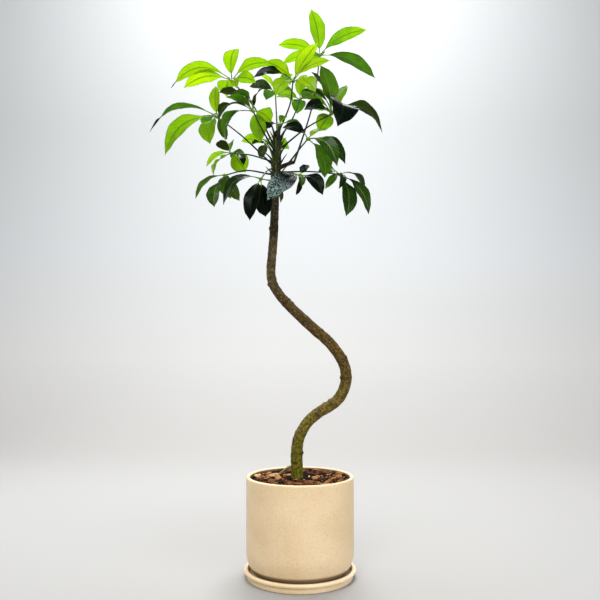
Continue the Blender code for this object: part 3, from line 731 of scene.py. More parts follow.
def chip_shape(number, draw):
    """One flat bark chip of the mulch, its place on a sunflower spiral, with worn edges and rough faces."""
    turn = number * GOLDEN_TURN
    reach = CHIP_REACH * math.sqrt((number + CHIP_START) / (CHIPS + CHIP_START))
    outer = reach > CHIP_OUTER_FROM
    length = draw.uniform(*(CHIP_LENGTH_OUTER if outer else CHIP_LENGTH))
    width = draw.uniform(*CHIP_WIDTH)
    size = Vector((length, width, draw.uniform(*CHIP_THICKNESS)))
    swing = draw.uniform(-CHIP_SWING, CHIP_SWING) * (CHIP_SWING_OUTER if outer else 1.0)
    shape = bmesh.new()
    # A block with five sides, a little narrower on top
    bmesh.ops.create_cone(
        shape, cap_ends=True, cap_tris=False, segments=5, radius1=0.54, radius2=0.42, depth=1.0
    )
    for corner in shape.verts:
        corner.co.x += draw.uniform(-CHIP_UNEVEN, CHIP_UNEVEN)
        corner.co.y += draw.uniform(-CHIP_UNEVEN, CHIP_UNEVEN)
    tilt = Matrix.Rotation(math.radians(draw.uniform(-CHIP_TILT, CHIP_TILT)), 4, "X")
    lean = Matrix.Rotation(math.radians(draw.uniform(-CHIP_LEAN, CHIP_LEAN)), 4, "Y")
    place = bed_place(turn, min(reach, CHIP_LIMIT - width / 2), draw.uniform(0.0, CHIP_RISE))
    spin = Matrix.Rotation(turn + math.pi / 2 + swing, 4, "Z")
    bmesh.ops.scale(shape, vec=size, verts=shape.verts)
    roughen_chip(shape, number)
    laid = place @ spin @ tilt @ lean @ Matrix.Scale(MM, 4)
    bmesh.ops.transform(shape, matrix=laid, verts=shape.verts)
    bmesh.ops.recalc_face_normals(shape, faces=shape.faces)
    return mesh_from("chip", shape)


def crumb_shape(number, draw):
    """A small splinter or lump of bark that fills the gaps between the chips."""
    turn = draw.uniform(0, math.tau)
    reach = CRUMB_REACH * math.sqrt(draw.uniform(CRUMB_NEAREST, 1.0))
    length = draw.uniform(*CRUMB_LENGTH)
    size = Vector((length, draw.uniform(*CRUMB_WIDTH), draw.uniform(*CRUMB_THICKNESS)))
    shape = bmesh.new()
    bmesh.ops.create_icosphere(shape, subdivisions=1, radius=0.5)
    for corner in shape.verts:
        corner.co *= draw.uniform(*CRUMB_UNEVEN)
    tip = Matrix.Rotation(draw.uniform(-CRUMB_TIP, CRUMB_TIP), 4, "Y")
    spin = Matrix.Rotation(draw.uniform(0, math.tau), 4, "Z")
    place = bed_place(turn, min(reach, CHIP_LIMIT - length / 2), draw.uniform(*CRUMB_RISE))
    bmesh.ops.scale(shape, vec=size, verts=shape.verts)
    keep_grain(shape, CRUMB_GRAIN_APART * number, draw.uniform(*CRUMB_SHADES))
    bmesh.ops.transform(shape, matrix=place @ spin @ tip @ Matrix.Scale(MM, 4), verts=shape.verts)
    return mesh_from("crumb", shape)


def make_soil(peat, wood):
    """The bed of potting mix with a lumpy top, the bark chips on it, and crumbs between them."""
    edge = POT_RADIUS - POT_WALL - SOIL_GAP
    floor = POT_BASE + POT_FLOOR + SOIL_GAP
    middle = (edge - POT_BEND_WIDTH, floor + POT_BEND_INSIDE)
    bend = arc(middle, (POT_BEND_WIDTH, POT_BEND_INSIDE), -90, 0, 6)
    width, height = SOIL_BEVEL
    shares = [i / SOIL_RINGS for i in range(SOIL_RINGS + 1)]
    rings = [((edge - width) * (1.0 - share), SOIL_SURFACE + SOIL_HEAP * share) for share in shares]
    shape = turned([(0.0, floor), *bend, (edge, SOIL_SURFACE - height), *rings], SOIL_SIDES)
    for point in shape.verts:
        if point.co.z > (SOIL_SURFACE - height / 2) * MM:
            point.co.z += lumpiness(point.co, SOIL_LUMPS) * MM
    add_piece("potting_mix", shape, peat, "soil", sharp=180.0)
    noise.seed_set(CHIP_SEED)
    draw = random.Random(CHIP_SEED)
    chips = gathered([chip_shape(i, draw) for i in range(CHIPS)])
    add_piece("bark_chips", chips, wood, "soil", sharp=35.0)
    crumbs = gathered([crumb_shape(i, draw) for i in range(CRUMBS)])
    add_piece("bark_crumbs", crumbs, wood, "soil", sharp=60.0)


# Stem

# The stem's middle line and radius in mm: across, back, up, radius
STEM = [
    (-4, 0, SOIL_HOLE_BOTTOM, 11.2),
    (-5, 0, 172, 11.2),
    (-6, 0, 206, 11.0),
    (-6, 1, 230, 10.8),
    (-2, 3, 251, 10.5),
    (7, 6, 270, 10.3),
    (19, 9, 285, 10.3),
    (38, 11, 300, 10.4),
    (60, 10, 313, 10.5),
    (77, 6, 331, 10.4),
    (86, 1, 357, 10.2),
    (84, -4, 382, 10.2),
    (73, -8, 406, 10.2),
    (52, -11, 432, 10.1),
    (29, -12, 452, 10.0),
    (6, -11, 473, 9.8),
    (-17, -8, 495, 9.4),
    (-37, -4, 517, 9.0),
    (-51, 0, 540, 8.7),
    (-55, 3, 566, 8.5),
    (-53, 4, 594, 8.3),
    (-50, 3, 632, 8.1),
    (-48, 1, 680, 7.8),
    (-47, 0, 726, 7.8),
    (-46, 0, 748, 8.6),
    (-45, 0, 772, 9.0),
    (-44, 0, 796, 8.0),
    (-43, 0, 816, 6.4),
    (-43, 0, 832, 4.8),
]
SIDE_SHOOT = [(-46, 0, 758, 4.4), (-30, -2, 765, 4.0), (-13, -4, 771, 3.4)]
STEM_ROOT = [
    (-6, 2, 199, 2.7),
    (-19, 5, 198, 2.5),
    (-31, 10, 190, 2.2),
    (-40, 14, 181, 2.0),
    (-48, 17, 170, 1.7),
]
STEM_SIDES, STEM_STEPS = 40, 16
SHOOT_SIDES, ROOT_SIDES, SHOOT_STEPS = 20, 14, 12
SHOOT_BARK = 0.5  # how rough their bark is beside the stem's
ROOT_DRYNESS = 0.75

# Skin of the stem, millimetres
BARK_RIDGES = ((150.0, 0.45), (420.0, 0.35))  # how many ridges to a metre, and how high they are
SCARS = 13
SCAR_LOWEST = 225.0
SCAR_STEP = 35.0
SCAR_LIFT = 2.0  # how far a leaf scar stands out
SCAR_SIZE = 3.6  # its half height along the stem
SCAR_SEED = 11
SMALL_SCARS = 56
SMALL_SCAR_HEIGHTS = (200.0, 745.0)
SMALL_SCAR_LIFT = (0.5, 1.4)
SMALL_SCAR_SIZE = (1.2, 2.4)
SCAR_REACH = 6.0  # how far its trace goes, in half heights
SCAR_BEND = 60.0  # how much the ends of a scar's crescent droop
SCAR_WIDTH = 1.7  # its half width, in half heights
SCAR_DARKNESS = 0.85
RING_HEIGHT = 1.6  # how narrow the ring round the stem at a scar is
RING_LIFT = 0.16
RING_DARKNESS = 0.35

# Old leaf bases on the upper stem, millimetres
LEAF_BASES = 26
LEAF_BASE_HEIGHTS = (740.0, 824.0)
LEAF_BASE_LENGTH = (14.0, 38.0)
LEAF_BASE_LEAN = (0.2, 1.0)  # how far the tip leans out, as a share of the length
LEAF_BASE_RADIUS = 2.2
LEAF_BASE_POINT = 0.3
LEAF_BASE_ROOT = 6.0  # from the stem's middle
LEAF_BASE_STEPS = 8
LEAF_BASE_AGES = ((0.1, 0.4), (0.3, 0.8), (0.6, 0.95))  # foot to tip: brown, half green or green
LEAF_BASE_SEED = 11


def stem_stretch(height):
    """The two points of STEM that a height in mm lies between."""
    return next((low, high) for low, high in zip(STEM, STEM[1:]) if height < high[2])


def stem_at(height):
    """The middle of the stem at a height in mm, in metres."""
    low, high = stem_stretch(height)
    return Vector(low[:3]).lerp(Vector(high[:3]), (height - low[2]) / (high[2] - low[2])) * MM


def shoot_at(share):
    """A point on the middle of the side shoot, from 0 at the stem to 1 at its tip, in metres."""
    return Vector(SIDE_SHOOT[0][:3]).lerp(Vector(SIDE_SHOOT[-1][:3]), share) * MM


def rod(line, sides, steps):
    """A rod from a list of (across, back, up, radius) in mm, and its middle line."""
    path = smooth_path([Vector(p[:3]) * MM for p in line], steps)
    return tube(path, smooth_path([p[3] * MM for p in line], steps), sides), path


def scar_marks():
    """Leaf scars: where each is, which way the stem runs there, how far it stands out, and its size."""
    marks = []
    draw = random.Random(SCAR_SEED)
    for number in range(SCARS + SMALL_SCARS):
        big = number < SCARS
        height = SCAR_LOWEST + number * SCAR_STEP if big else draw.uniform(*SMALL_SCAR_HEIGHTS)
        low, high = stem_stretch(height)
        along = (Vector(high[:3]) - Vector(low[:3])).normalized()
        out = spoke(number * GOLDEN_TURN)
        out = (out - along * out.dot(along)).normalized()
        lift = SCAR_LIFT if big else draw.uniform(*SMALL_SCAR_LIFT)
        size = SCAR_SIZE if big else draw.uniform(*SMALL_SCAR_SIZE)
        marks.append((stem_at(height) + out * low[3] * MM, along, lift * MM, size * MM))
    return marks


def add_bark(shape, path, marks, strength):
    """Push a rod's skin in and out: leaf scars, faint rings at each of them, and fine ridges."""
    scar = shape.verts.layers.float.new("scar")
    tree = search_tree(path)
    for point in shape.verts:
        out = (point.co - tree.find(point.co)[0]).normalized()
        push = lumpiness(point.co, BARK_RIDGES) * strength * MM
        dark = 0.0
        for place, along, lift, size in marks:
            gap = point.co - place
            if gap.length < size * SCAR_REACH:
                level = gap.dot(along)
                side = (gap - along * level).length
                bent = (level + side * side * SCAR_BEND) / size
                crescent = math.exp(-bent ** 2 - (side / size / SCAR_WIDTH) ** 2)
                ring = math.exp(-(level / size * RING_HEIGHT) ** 2)
                push += lift * (crescent + RING_LIFT * ring)
                dark = max(dark, crescent * SCAR_DARKNESS, ring * RING_DARKNESS)
        point[scar] = dark
        point.co += out * push
    bmesh.ops.recalc_face_normals(shape, faces=shape.faces)


def make_stem(material):
    """The crooked stem with its scars, the short side shoot and the thin root over the soil."""
    trunk, path = rod(STEM, STEM_SIDES, STEM_STEPS)
    add_bark(trunk, path, scar_marks(), 1.0)
    add_piece("woody_stem", trunk, material, "stem", sharp=80.0)
    for name, line, sides, dryness in (
        ("side_shoot", SIDE_SHOOT, SHOOT_SIDES, 0.0),
        ("surface_root", STEM_ROOT, ROOT_SIDES, ROOT_DRYNESS),
    ):
        shape, path = rod(line, sides, SHOOT_STEPS)
        add_bark(shape, path, [], SHOOT_BARK)
        dry = shape.verts.layers.float.new("dry")
        for point in shape.verts:
            point[dry] = dryness
        add_piece(name, shape, material, "stem", sharp=80.0)


def add_tube(shape, path, radii, sides, reach):
    """Add a rod to a bmesh, with how fresh and green it is from its foot to its tip, from 0 to 1."""
    layer = shape.verts.layers.float["reach"]
    first = len(shape.verts)
    mesh = mesh_from("part", tube(path, radii, sides))
    shape.from_mesh(mesh)
    bpy.data.meshes.remove(mesh)
    shape.verts.ensure_lookup_table()
    tree = search_tree(path)
    for point in shape.verts[first:]:
        share = tree.find(point.co)[1] / (len(path) - 1)
        point[layer] = reach[0] + (reach[1] - reach[0]) * share


def make_leaf_bases(material):
    """Old leaf bases in the crown: thin pointed strips, brown or green, that lean off the stem."""
    draw = random.Random(LEAF_BASE_SEED)
    shape = bmesh.new()
    shape.verts.layers.float.new("reach")
    lowest, highest = LEAF_BASE_HEIGHTS
    shares = [i / LEAF_BASE_STEPS for i in range(LEAF_BASE_STEPS + 1)]
    radii = [(LEAF_BASE_RADIUS * (1 - t) ** 0.7 + LEAF_BASE_POINT) * MM for t in shares]
    for number in range(LEAF_BASES):
        out = spoke(number * GOLDEN_TURN)
        foot = stem_at(lowest + (highest - lowest) * number / LEAF_BASES) + out * LEAF_BASE_ROOT * MM
        length, lean = draw.uniform(*LEAF_BASE_LENGTH) * MM, draw.uniform(*LEAF_BASE_LEAN)
        line = [foot + (out * lean * t ** 1.6 + UP * t) * length for t in shares]
        add_tube(shape, line, radii, STALK_SIDES, draw.choice(LEAF_BASE_AGES))
    add_piece("leaf_bases", shape, material, "stem", sharp=80.0)


# Fronds

# Leaflets and stalks, in millimetres or as shares of a leaflet's length or half width
LEAF_THICKNESS = 0.55
LEAF_FOLD = 0.22  # rise of the leaflet's edges from its rib, as a share of the half width
LEAF_ALONG = 36
LEAF_ACROSS = 12
LEAF_FULLNESS = 0.64  # below 1 the blade is fuller than a sine curve
DRIP_TIP = 0.86  # where the drip tip starts
DRIP_TIP_HOLLOW = 1.2
BLADE_FOOT = 0.015  # the outline starts a little way in, so the foot is no point
STALK_SHARE = 0.17  # how much of a leaflet's reach is its stalk
BLADE_START = STALK_SHARE - 0.02  # blade and stalk run into each other
STALK_END = STALK_SHARE + 0.03
STALK_START = 0.66  # from the middle of the hub
STALK_RADIUS = 1.0  # a leaflet's own stalk
BLADE_NARROWEST = 0.7  # where the blade starts, as a share of that
STALK_RADII = (1.5, 1.35, 1.1, 1.0, 0.95, 0.95, 1.0, 1.0, 0.7)  # from the hub on
STALK_SIDES = 10
LEAFLET_FACING = (0.5, 0.8)  # a blade faces this much along the long stalk, and this much up
EDGE_WAVES = (1.6, 2.8)  # waves along an edge
EDGE_RIPPLE = (0.04, 0.09)
EDGE_SHIFT = 1.5  # radians from the waves of one edge to those of the other
BLADE_LEAN = 0.05  # sideways bend, as a share of the half width
QUILT = 0.22  # how much the skin swells between its veins
SHRINK = 0.85  # how much a withered tip is narrower
SHRINK_LENGTH = 0.06
DRY_FROM, DRY_FADE = 0.04, 12.0  # past where the tip withers
SHEEN_FADE, SHEEN_CLEAR = 2.4, 0.7  # the foot of a leaflet with painted sheen stays clear
TONE_DRIFT = 0.05  # change of tone along a leaflet
HUB_RADIUS = 3.8
HUB_FLATNESS = 0.8
HUB_REACH = 0.9  # how green it is, as on a stalk
PETIOLE_KNEE = 14.0
PETIOLE_RISE = (0.6, 1.4)  # share of the way's slope that the foot takes, and the steepest foot
PETIOLE_RADII = (3.4, 2.8, 2.0, 1.6, 1.4, 1.35, 1.4)
PETIOLE_STEPS = (10, 5)  # along its three stretches, and between its radii
PETIOLE_SIDES = 14
PETIOLE_REACH = 0.85
FROND_SEED = 5


class Frond:
    """A long stalk that ends in a hub with leaflets round it like the ribs of an umbrella.

    root is where the stalk starts, hub where it ends, and bow moves its middle, in mm. Each leaflet is
    its tip from the hub (across, back, up) and its width in mm, how far it arches as a share of its
    length, how many degrees its near edge is raised, and its tone from dark to lime, which is partly its
    age and partly painted shade and painted light.
    """

    def __init__(self, name, root, hub, bow, leaflets):
        self.name = name
        self.root = root
        self.hub = Vector(hub) * MM
        self.bow = Vector(bow) * MM
        self.leaflets = leaflets


# Leaflet tones are partly age and partly painted shade and painted light, as each leaflet was lit
FRONDS = [
    Frond("frond_top_right", shoot_at(0.95), (39, 30, 992), (10, 0, 6), [
        (-18, -35, 77, 32, 0.10, 0, 0.76),
        (92, -10, 47, 28, 0.12, 35, 0.69),
        (109, 10, -42, 28, 0.14, 30, 0.42),
        (-82, -15, 14, 26, 0.12, 30, 0.85),
        (-74, 32, -4, 22, 0.10, 25, 0.78),
        (-10, 80, 22, 30, 0.12, 0, 0.60),
    ]),
    Frond("frond_top_middle", stem_at(826), (-13, -40, 914), (6, 0, 0), [
        (45, -32, 59, 32, 0.06, 20, 0.98),
        (70, 16, 46, 25, 0.12, 40, 0.95),
        (-52, -20, 30, 28, 0.10, 40, 0.85),
        (-72, -30, -4, 24, 0.20, -45, 0.02),
        (-31, -38, -40, 30, 0.16, -30, 0.72),
        (41, -38, -34, 31, 0.16, -35, 0.76),
        (-16, 62, 22, 26, 0.12, 0, 0.60),
    ]),
    Frond("frond_top_left", stem_at(804), (-127, -30, 919), (6, 0, 4), [
        (14, -68, 33, 30, 0.22, 0, 0.86),
        (-112, -14, -19, 28, 0.28, 35, 0.88),
        (-95, 24, -5, 32, 0.15, 40, 0.98),
        (-14, 44, -16, 38, 0.30, 0, 0.84),
        (75, 10, 36, 26, 0.18, 40, 0.80),
        (42, 42, 12, 26, 0.14, 35, 0.75),
        (12, -34, -27, 16, 0.20, 0, 0.80),
    ]),
    Frond("frond_top_back", stem_at(830), (-50, 80, 934), (0, 6, 0), [
        (-30, 15, 42, 18, 0.12, 20, 0.90),
        (-52, -14, 8, 20, 0.22, 40, 0.05),
        (34, 52, 8, 28, 0.14, 20, 0.55),
        (-22, 66, 8, 28, 0.14, 0, 0.50),
        (36, 14, 44, 26, 0.10, 20, 0.80),
        (38, -14, -24, 22, 0.16, 20, 0.70),
    ]),
    Frond("frond_front_middle", stem_at(790), (-85, -70, 848), (-2, -4, 0), [
        (-60, -34, -30, 24, 0.30, 0, 0.22),
        (-50, 0, -55, 28, 0.34, -30, 0.45),
        (-47, -26, 17, 24, 0.14, 20, 0.50),
        (-67, 44, 50, 27, 0.14, 45, 0.04),
        (-41, 4, 34, 21, 0.30, 40, 0.42),
        (32, 22, -14, 33, 0.16, 30, 0.75),
        (15, 20, 48, 21, 0.14, 30, 0.04),
        (13, 36, -45, 30, 0.18, 20, 0.72),
    ]),
    Frond("frond_left", stem_at(766), (-155, -20, 853), (0, 0, 4), [
        (1, -38, 46, 22, 0.12, 0, 0.82),
        (-122, -26, -36, 24, 0.26, 8, 0.45),
        (-101, 14, -69, 37, 0.22, 32, 0.74),
        (-10, -30, -60, 37, 0.20, -20, 0.66),
        (15, 26, -36, 18, 0.18, 20, 0.34),
        (28, -18, 20, 17, 0.20, 25, 0.02),
        (-32, 72, 2, 30, 0.16, 0, 0.50),
    ]),
    Frond("frond_right", stem_at(797), (57, -60, 846), (0, -4, 4), [
        (8, -64, -43, 56, 0.42, 0, 0.00),
        (91, -20, -41, 30, 0.30, 30, 0.22),
        (-50, -42, -6, 25, 0.20, -35, 0.06),
        (-20, -24, 82, 34, 0.08, 50, 0.45),
        (30, 14, 59, 20, 0.10, 20, 0.60),
        (-36, 14, 84, 24, 0.10, 30, 0.20),
        (-22, 42, -20, 32, 0.14, 10, 0.68),
        (-30, 34, 20, 28, 0.12, 10, 0.62),
        (-53, 16, 50, 19, 0.20, 20, 0.00),
        (-54, -6, 26, 16, 0.20, 20, 0.62),
    ]),
    Frond("frond_front_low", shoot_at(0.62), (14, -90, 791), (4, 0, 6), [
        (-45, -22, 14, 21, 0.20, -45, 0.04),
        (66, -8, -47, 32, 0.22, -20, 0.22),
        (50, -44, -60, 30, 0.22, -20, 0.34),
        (31, 26, -64, 38, 0.16, -35, 0.50),
        (32, 22, 24, 22, 0.14, 20, 0.72),
    ]),
    Frond("frond_right_low", stem_at(752), (71, -30, 742), (0, 0, 3), [
        (51, 30, -23, 26, 0.24, 10, 0.14),
        (13, -22, -83, 34, 0.14, -30, 0.29),
        (56, -4, -76, 28, 0.16, -45, 0.26),
        (-38, -30, -2, 26, 0.20, -35, 0.48),
        (-25, -20, -32, 14, 0.18, 0, 0.42),
        (-1, -42, -37, 14, 0.24, 0, 0.10),
    ]),
    Frond("frond_front_lowest", stem_at(744), (0, -90, 726), (0, 0, 4), [
        (40, -20, -40, 26, 0.20, -35, 0.06),
        (3, -24, -26, 13, 0.18, 0, 0.36),
        (-7, 14, -33, 10, 0.16, 0, 0.04),
        (-56, -46, -54, 40, 0.16, -5, 0.04),
        (14, 14, 22, 17, 0.12, 15, 0.06),
    ]),
    Frond("frond_front_left_low", stem_at(756), (-69, -100, 717), (0, 0, 6), [
        (-18, -18, -77, 30, 0.14, 0, 0.00),
        (8, 14, -65, 32, 0.12, 0, 0.00),
        (-64, -18, -50, 23, 0.32, -8, 0.12),
        (34, 44, -34, 24, 0.20, 0, 0.10),
    ]),
    Frond("frond_left_low", stem_at(750), (-146, 30, 754), (0, 0, 8), [
        (-18, -18, -66, 36, 0.12, -50, 0.32),
        (-60, 22, -42, 22, 0.20, 0, 0.46),
        (6, 62, -34, 30, 0.20, 0, 0.40),
        (26, 34, -44, 24, 0.20, 0, 0.30),
    ]),
    Frond("frond_back_left", stem_at(774), (-140, 90, 813), (0, 0, 4), [
        (-53, 22, -22, 18, 0.22, 0, 0.80),
        (-34, -12, -48, 28, 0.20, -40, 0.74),
        (28, 22, -34, 40, 0.22, 20, 0.72),
        (27, -20, -30, 18, 0.22, -30, 0.05),
        (-27, -28, 14, 20, 0.20, 10, 0.06),
        (-4, 46, 34, 26, 0.14, 0, 0.50),
        (26, 62, -8, 28, 0.18, 10, 0.50),
    ]),
    Frond("frond_back_right", stem_at(816), (0, 62, 914), (4, 4, 0), [
        (26, -32, 6, 22, 0.16, 0, 0.50),
        (54, 0, 11, 26, 0.16, 10, 0.62),
        (-6, 52, -12, 29, 0.16, 0, 0.50),
        (10, 18, 60, 26, 0.08, 0, 0.80),
        (46, 46, 10, 28, 0.14, 10, 0.50),
        (-48, -30, -6, 26, 0.14, 10, 0.70),
    ]),
    Frond("frond_back", stem_at(786), (-68, 70, 826), (0, 4, 0), [
        (-50, 0, 6, 24, 0.16, 20, 0.85),
        (-27, -16, -5, 20, 0.20, -45, 0.08),
        (-12, 34, -22, 20, 0.18, 0, 0.30),
        (46, 44, 2, 30, 0.16, 10, 0.65),
        (-4, 66, 20, 30, 0.14, 0, 0.60),
    ]),
    Frond("frond_young", stem_at(812), (-38, -27, 836), (0, 0, 0), [
        (-36, 2, -12, 21, 0.20, -50, 0.02),
        (24, -20, -14, 12, 0.20, 0, 0.90),
        (46, 6, -10, 17, 0.22, -40, 0.50),
        (12, -30, 6, 14, 0.20, 10, 0.60),
    ]),
]
# By frond and leaflet: the share from which a tip is shrunk and brown, and how much painted sheen it has
WITHERED = {("frond_top_left", 1): 0.84, ("frond_left", 1): 0.70}
SHEEN_SPECKS = {("frond_front_lowest", 3): 0.8, ("frond_top_back", 1): 0.4}
NOT_WITHERED = 2.0  # past the tip


class Leaflet:
    """A blade on its own stalk: its directions and sizes in metres, from its row in FRONDS.

    hub is where it starts, and end the direction in which the frond's long stalk arrives there.
    """

    def __init__(self, row, hub, end):
        *tip, width, arch, raised, self.tone = row
        self.hub = hub
        self.tip = Vector(tip) * MM
        self.half = width / 2 * MM
        self.arch = arch * self.tip.length
        self.raised = math.radians(raised) * math.copysign(1.0, -self.tip.x)
        along, up = LEAFLET_FACING
        self.across = (end * along + UP * up).normalized().cross(self.tip).normalized()
        self.lift = self.tip.cross(self.across).normalized()

    def rib_at(self, share):
        """A point on its rib, from 0 at the hub to 1 at the tip."""
        return self.hub + self.tip * share + self.lift * self.arch * 4 * share * (1 - share)

    def rolled(self, share):
        """The turn about its length that raises one edge, as a matrix."""
        return Matrix.Rotation(self.raised * share, 3, self.tip.normalized())

    def stalk_line(self):
        """The middle of its stalk, from inside the hub to inside the blade."""
        first = STALK_START * MM / (self.tip + self.lift * self.arch * 4).length
        last = len(STALK_RADII) - 1
        return [self.rib_at(first + (STALK_END - first) * i / last) for i in range(last + 1)]


def petiole_path(frond, steps):
    """The line of the long stalk: it leaves the stem sideways and bends up to the hub."""
    level = Vector((frond.hub.x - frond.root.x, frond.hub.y - frond.root.y, 0.0))
    slope = (frond.hub.z - frond.root.z) / max(level.length, MM)
    share, steepest = PETIOLE_RISE
    leave = (level.normalized() + UP * clamp(slope * share, steepest)).normalized()
    knee = frond.root + leave * PETIOLE_KNEE * MM
    middle = (knee + frond.hub) / 2 + frond.bow
    return smooth_path([frond.root, knee, middle, frond.hub], steps)


def leaf_outline(share):
    """Half width of the blade along its length: 0 at the stalk, 1 at its widest, 0 at the drip tip."""
    if share > DRIP_TIP:
        left = clamp((1.0 - share) / (1.0 - DRIP_TIP))
        return leaf_outline(DRIP_TIP) * left ** DRIP_TIP_HOLLOW
    return math.sin(math.pi * share) ** LEAF_FULLNESS


def blade_width(blade, half, withered):
    """Half width of a leaflet in metres, narrow at the stalk and where its tip is withered."""
    spread = half * leaf_outline(BLADE_FOOT + (1.0 - BLADE_FOOT) * blade)
    spread = max(spread, BLADE_NARROWEST * STALK_RADIUS * MM * (1 - blade))
    shrunk = (blade - withered - SHRINK_LENGTH) / SHRINK_LENGTH
    return spread * (1.0 - SHRINK * math.exp(-(shrunk ** 2)))


def leaflet_shape(leaflet, withered, sheened, draw):
    """One blade: folded along its rib, quilted between its veins, wavy at its edge, with a drip tip.

    withered is the share of it from which it is dry, and the last argument how much painted sheen,
    in pale specks partly from hard water, lies on it, up to 1.
    """
    phase = draw.uniform(0, math.tau)
    waves = draw.uniform(*EDGE_WAVES)
    ripple = draw.uniform(*EDGE_RIPPLE)
    lean = draw.uniform(-BLADE_LEAN, BLADE_LEAN)
    shape = bmesh.new()
    shape.loops.layers.uv.new("UVMap")
    tone, lower, dry, sheen_specks = [shape.verts.layers.float.new(name) for name in LEAF_LAYERS]
    bmesh.ops.create_grid(shape, x_segments=LEAF_ALONG, y_segments=LEAF_ACROSS, size=1.0, calc_uvs=True)
    for point in shape.verts:
        blade, side = (point.co.x + 1) / 2, point.co.y
        away = abs(side)
        spread = blade_width(blade, leaflet.half, withered)
        vein = math.cos(math.tau * (blade - away * VEIN_SLANT) * SIDE_VEINS)
        quilt = vein * QUILT * MM * clamp(spread / leaflet.half) * clamp(away * 3)
        turn = phase + waves * math.tau * blade + (EDGE_SHIFT if side > 0 else 0.0)
        rise = away * spread * LEAF_FOLD + math.sin(turn) * ripple * spread * away ** 2 - quilt
        skew = math.sin(math.pi * blade) * leaflet.half * lean
        edge = leaflet.across * (side * spread + skew) + leaflet.lift * rise
        rib = leaflet.rib_at(BLADE_START + (1.0 - BLADE_START) * blade)
        point.co = rib + leaflet.rolled(clamp(blade * 3)) @ edge
        point[tone] = leaflet.tone + TONE_DRIFT * math.sin(blade * 3 + phase)
        point[dry] = clamp((blade - withered - DRY_FROM) * DRY_FADE)
        point[sheen_specks] = sheened * clamp(blade * SHEEN_FADE - SHEEN_CLEAR)
    bmesh.ops.remove_doubles(shape, verts=shape.verts, dist=MERGE)
    bmesh.ops.solidify(shape, geom=shape.faces[:], thickness=LEAF_THICKNESS * MM)
    bmesh.ops.recalc_face_normals(shape, faces=shape.faces)
    shape.normal_update()
    top = leaflet.rolled(1.0) @ leaflet.lift
    for point in shape.verts:
        point[lower] = 1.0 if point.normal.dot(top) < 0 else 0.0
    return mesh_from("leaflet", shape)


def frond_blades(frond, leaflets, draw):
    """The blades of a frond, as one bmesh."""
    meshes = []
    for number, leaflet in enumerate(leaflets):
        key = (frond.name, number)
        withered, sheened = WITHERED.get(key, NOT_WITHERED), SHEEN_SPECKS.get(key, 0.0)
        meshes.append(leaflet_shape(leaflet, withered, sheened, draw))
    return gathered(meshes)


def frond_stalks(frond, leaflets):
    """The long stalk of a frond with its hub and the leaflets' own stalks, as one bmesh."""
    along, between = PETIOLE_STEPS
    shape = bmesh.new()
    layer = shape.verts.layers.float.new("reach")
    radii = smooth_path([r * MM for r in PETIOLE_RADII], between)
    add_tube(shape, petiole_path(frond, along), radii, PETIOLE_SIDES, (0.0, PETIOLE_REACH))
    radii = [STALK_RADIUS * r * MM for r in STALK_RADII]
    for leaflet in leaflets:
        add_tube(shape, leaflet.stalk_line(), radii, STALK_SIDES, (PETIOLE_REACH, 1.0))
    hub = bmesh.ops.create_icosphere(shape, subdivisions=3, radius=HUB_RADIUS * MM)["verts"]
    for point in hub:
        point[layer] = HUB_REACH
        point.co.z *= HUB_FLATNESS
        point.co += frond.hub
    return shape


def make_frond(frond, leaf, stalk, draw):
    """A frond as two pieces: its blades, and its stalk with the hub and the leaflets' own stalks."""
    rough = petiole_path(frond, 2)
    end = (rough[-1] - rough[-2]).normalized()
    leaflets = [Leaflet(row, frond.hub, end) for row in frond.leaflets]
    blades, stalks = frond_blades(frond, leaflets, draw), frond_stalks(frond, leaflets)
    add_piece(frond.name.replace("frond", "leaflets"), blades, leaf, frond.name, sharp=70.0)
    add_piece(frond.name.replace("frond", "stalk"), stalks, stalk, frond.name, sharp=80.0)


# Studio

# Backdrop, metres
PAPER_SIDE = 4.6
PAPER_FRONT = -2.6
PAPER_BACK = 3.1
PAPER_BEND = 1.8
PAPER_TOP = 3.6
PAPER_DROP = 0.0001  # just under the saucer's foot, so that their faces don't meet

# Square soft lights: name, place, the point each faces, width, watts and colour
LIGHTS = [
    ("window", (-0.5, -1.9, 1.5), (0.0, 0.0, 0.4), 0.9, 20.5, "fff8ee"),
    ("skylight", (0.15, 0.75, 2.0), (0.0, 0.0, 0.9), 0.9, 31.0, "f8fbff"),
    ("ceiling", (0.0, -0.5, 2.0), (0.0, 0.0, 0.7), 0.6, 14.0, "f4f9ff"),
    ("edge", (-1.3, 0.7, 1.1), (0.0, 0.0, 0.45), 0.8, 7.0, "f4f9ff"),
    ("fill", (1.5, -1.6, 0.7), (0.0, 0.0, 0.15), 1.2, 15.0, "ffffff"),
    ("paper", (0.0, 1.5, 2.9), (0.0, 3.1, 0.9), 2.4, 110.0, "ffffff"),
]
SKY_COLOUR, SKY_STRENGTH = "f4f7fb", 0.55

# Camera: metres, millimetres, and degrees above level
CAMERA_PLACE = (0.0, -1.353, 0.4315)
CAMERA_TILT = 3.29
CAMERA_SENSOR = 36.0
CAMERA_LENS = 43.2


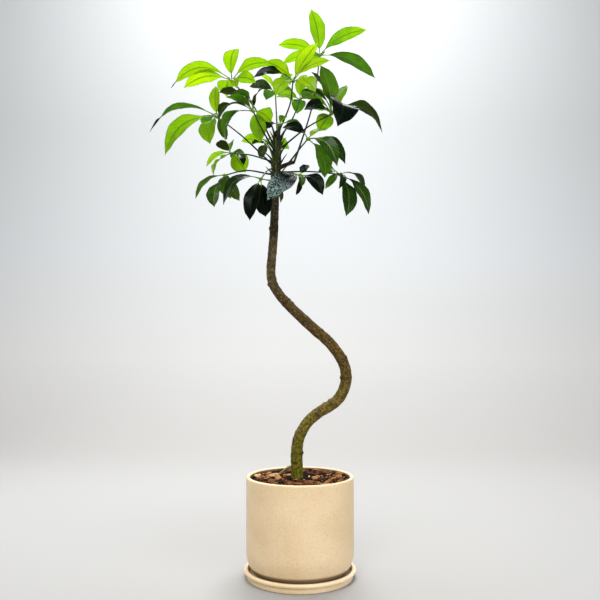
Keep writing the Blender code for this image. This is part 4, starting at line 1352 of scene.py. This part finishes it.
def make_backdrop(material):
    """One sheet of pale paper: the floor, a wide curve and the wall behind."""
    shape = bmesh.new()
    bend = arc((PAPER_BACK - PAPER_BEND, PAPER_BEND), (PAPER_BEND, PAPER_BEND), -90, 0, 24)
    profile = [(PAPER_FRONT, 0.0), (0.0, 0.0), *bend, (PAPER_BACK, PAPER_TOP)]
    points = [shape.verts.new((-PAPER_SIDE, y, z - PAPER_DROP)) for y, z in profile]
    lines = [shape.edges.new(pair) for pair in zip(points, points[1:])]
    wide = bmesh.ops.extrude_edge_only(shape, edges=lines)["geom"]
    far = [part for part in wide if isinstance(part, bmesh.types.BMVert)]
    bmesh.ops.translate(shape, vec=(2 * PAPER_SIDE, 0.0, 0.0), verts=far)
    bmesh.ops.recalc_face_normals(shape, faces=shape.faces)
    if shape.faces[0].normal.z < 0:
        bmesh.ops.reverse_faces(shape, faces=shape.faces[:])
    sheet = add_object("backdrop", mesh_from("backdrop", shape))
    sheet.data.materials.append(material)
    sheet.data.shade_smooth()


def softbox(name, place, target, size, power, colour):
    """A square soft light that faces a point."""
    light = bpy.data.lights.new(name, "AREA")
    light.shape = "SQUARE"
    light.size = size
    light.energy = power
    light.color = linear(colour)[:3]
    lamp = add_object(name, light)
    lamp.location = place
    lamp.rotation_euler = (Vector(target) - Vector(place)).to_track_quat("-Z", "Y").to_euler()


def light_studio():
    """An even pale sky and the soft lights, shown with plain colours."""
    world = bpy.data.worlds.new("studio")
    world.use_nodes = True
    sky = world.node_tree.nodes["Background"]
    sky.inputs["Color"].default_value = linear(SKY_COLOUR)
    sky.inputs["Strength"].default_value = SKY_STRENGTH
    bpy.context.scene.world = world
    for light in LIGHTS:
        softbox(*light)
    view = bpy.context.scene.view_settings
    view.view_transform = "Standard"
    view.look = "None"


def aim_camera():
    """The photograph's view: a little below the middle of the plant, tilted slightly up."""
    lens = bpy.data.cameras.new("camera")
    lens.sensor_width = CAMERA_SENSOR
    lens.lens = CAMERA_LENS
    camera = add_object("camera", lens)
    camera.location = CAMERA_PLACE
    camera.rotation_euler = (math.radians(90.0 + CAMERA_TILT), 0.0, 0.0)
    bpy.context.scene.camera = camera


def main():
    """The studio, then the object from the saucer up."""
    aim_camera()
    light_studio()
    make_backdrop(studio_paper())
    make_saucer(stoneware_glaze("glazed stoneware, saucer", shade="e6cca0", cream="efd8b2", light="f3e0c0"))
    make_pot(stoneware_glaze("glazed stoneware, pot", shade="dcc298", cream="e4cba4", light="e9d2ae"))
    make_soil(potting_mix(), bark_chip_wood())
    make_stem(bark_skin())
    leaf = leaf_skin()
    stalk = stalk_skin()
    make_leaf_bases(stalk)
    draw = random.Random(FROND_SEED)
    for frond in FRONDS:
        make_frond(frond, leaf, stalk, draw)


main()
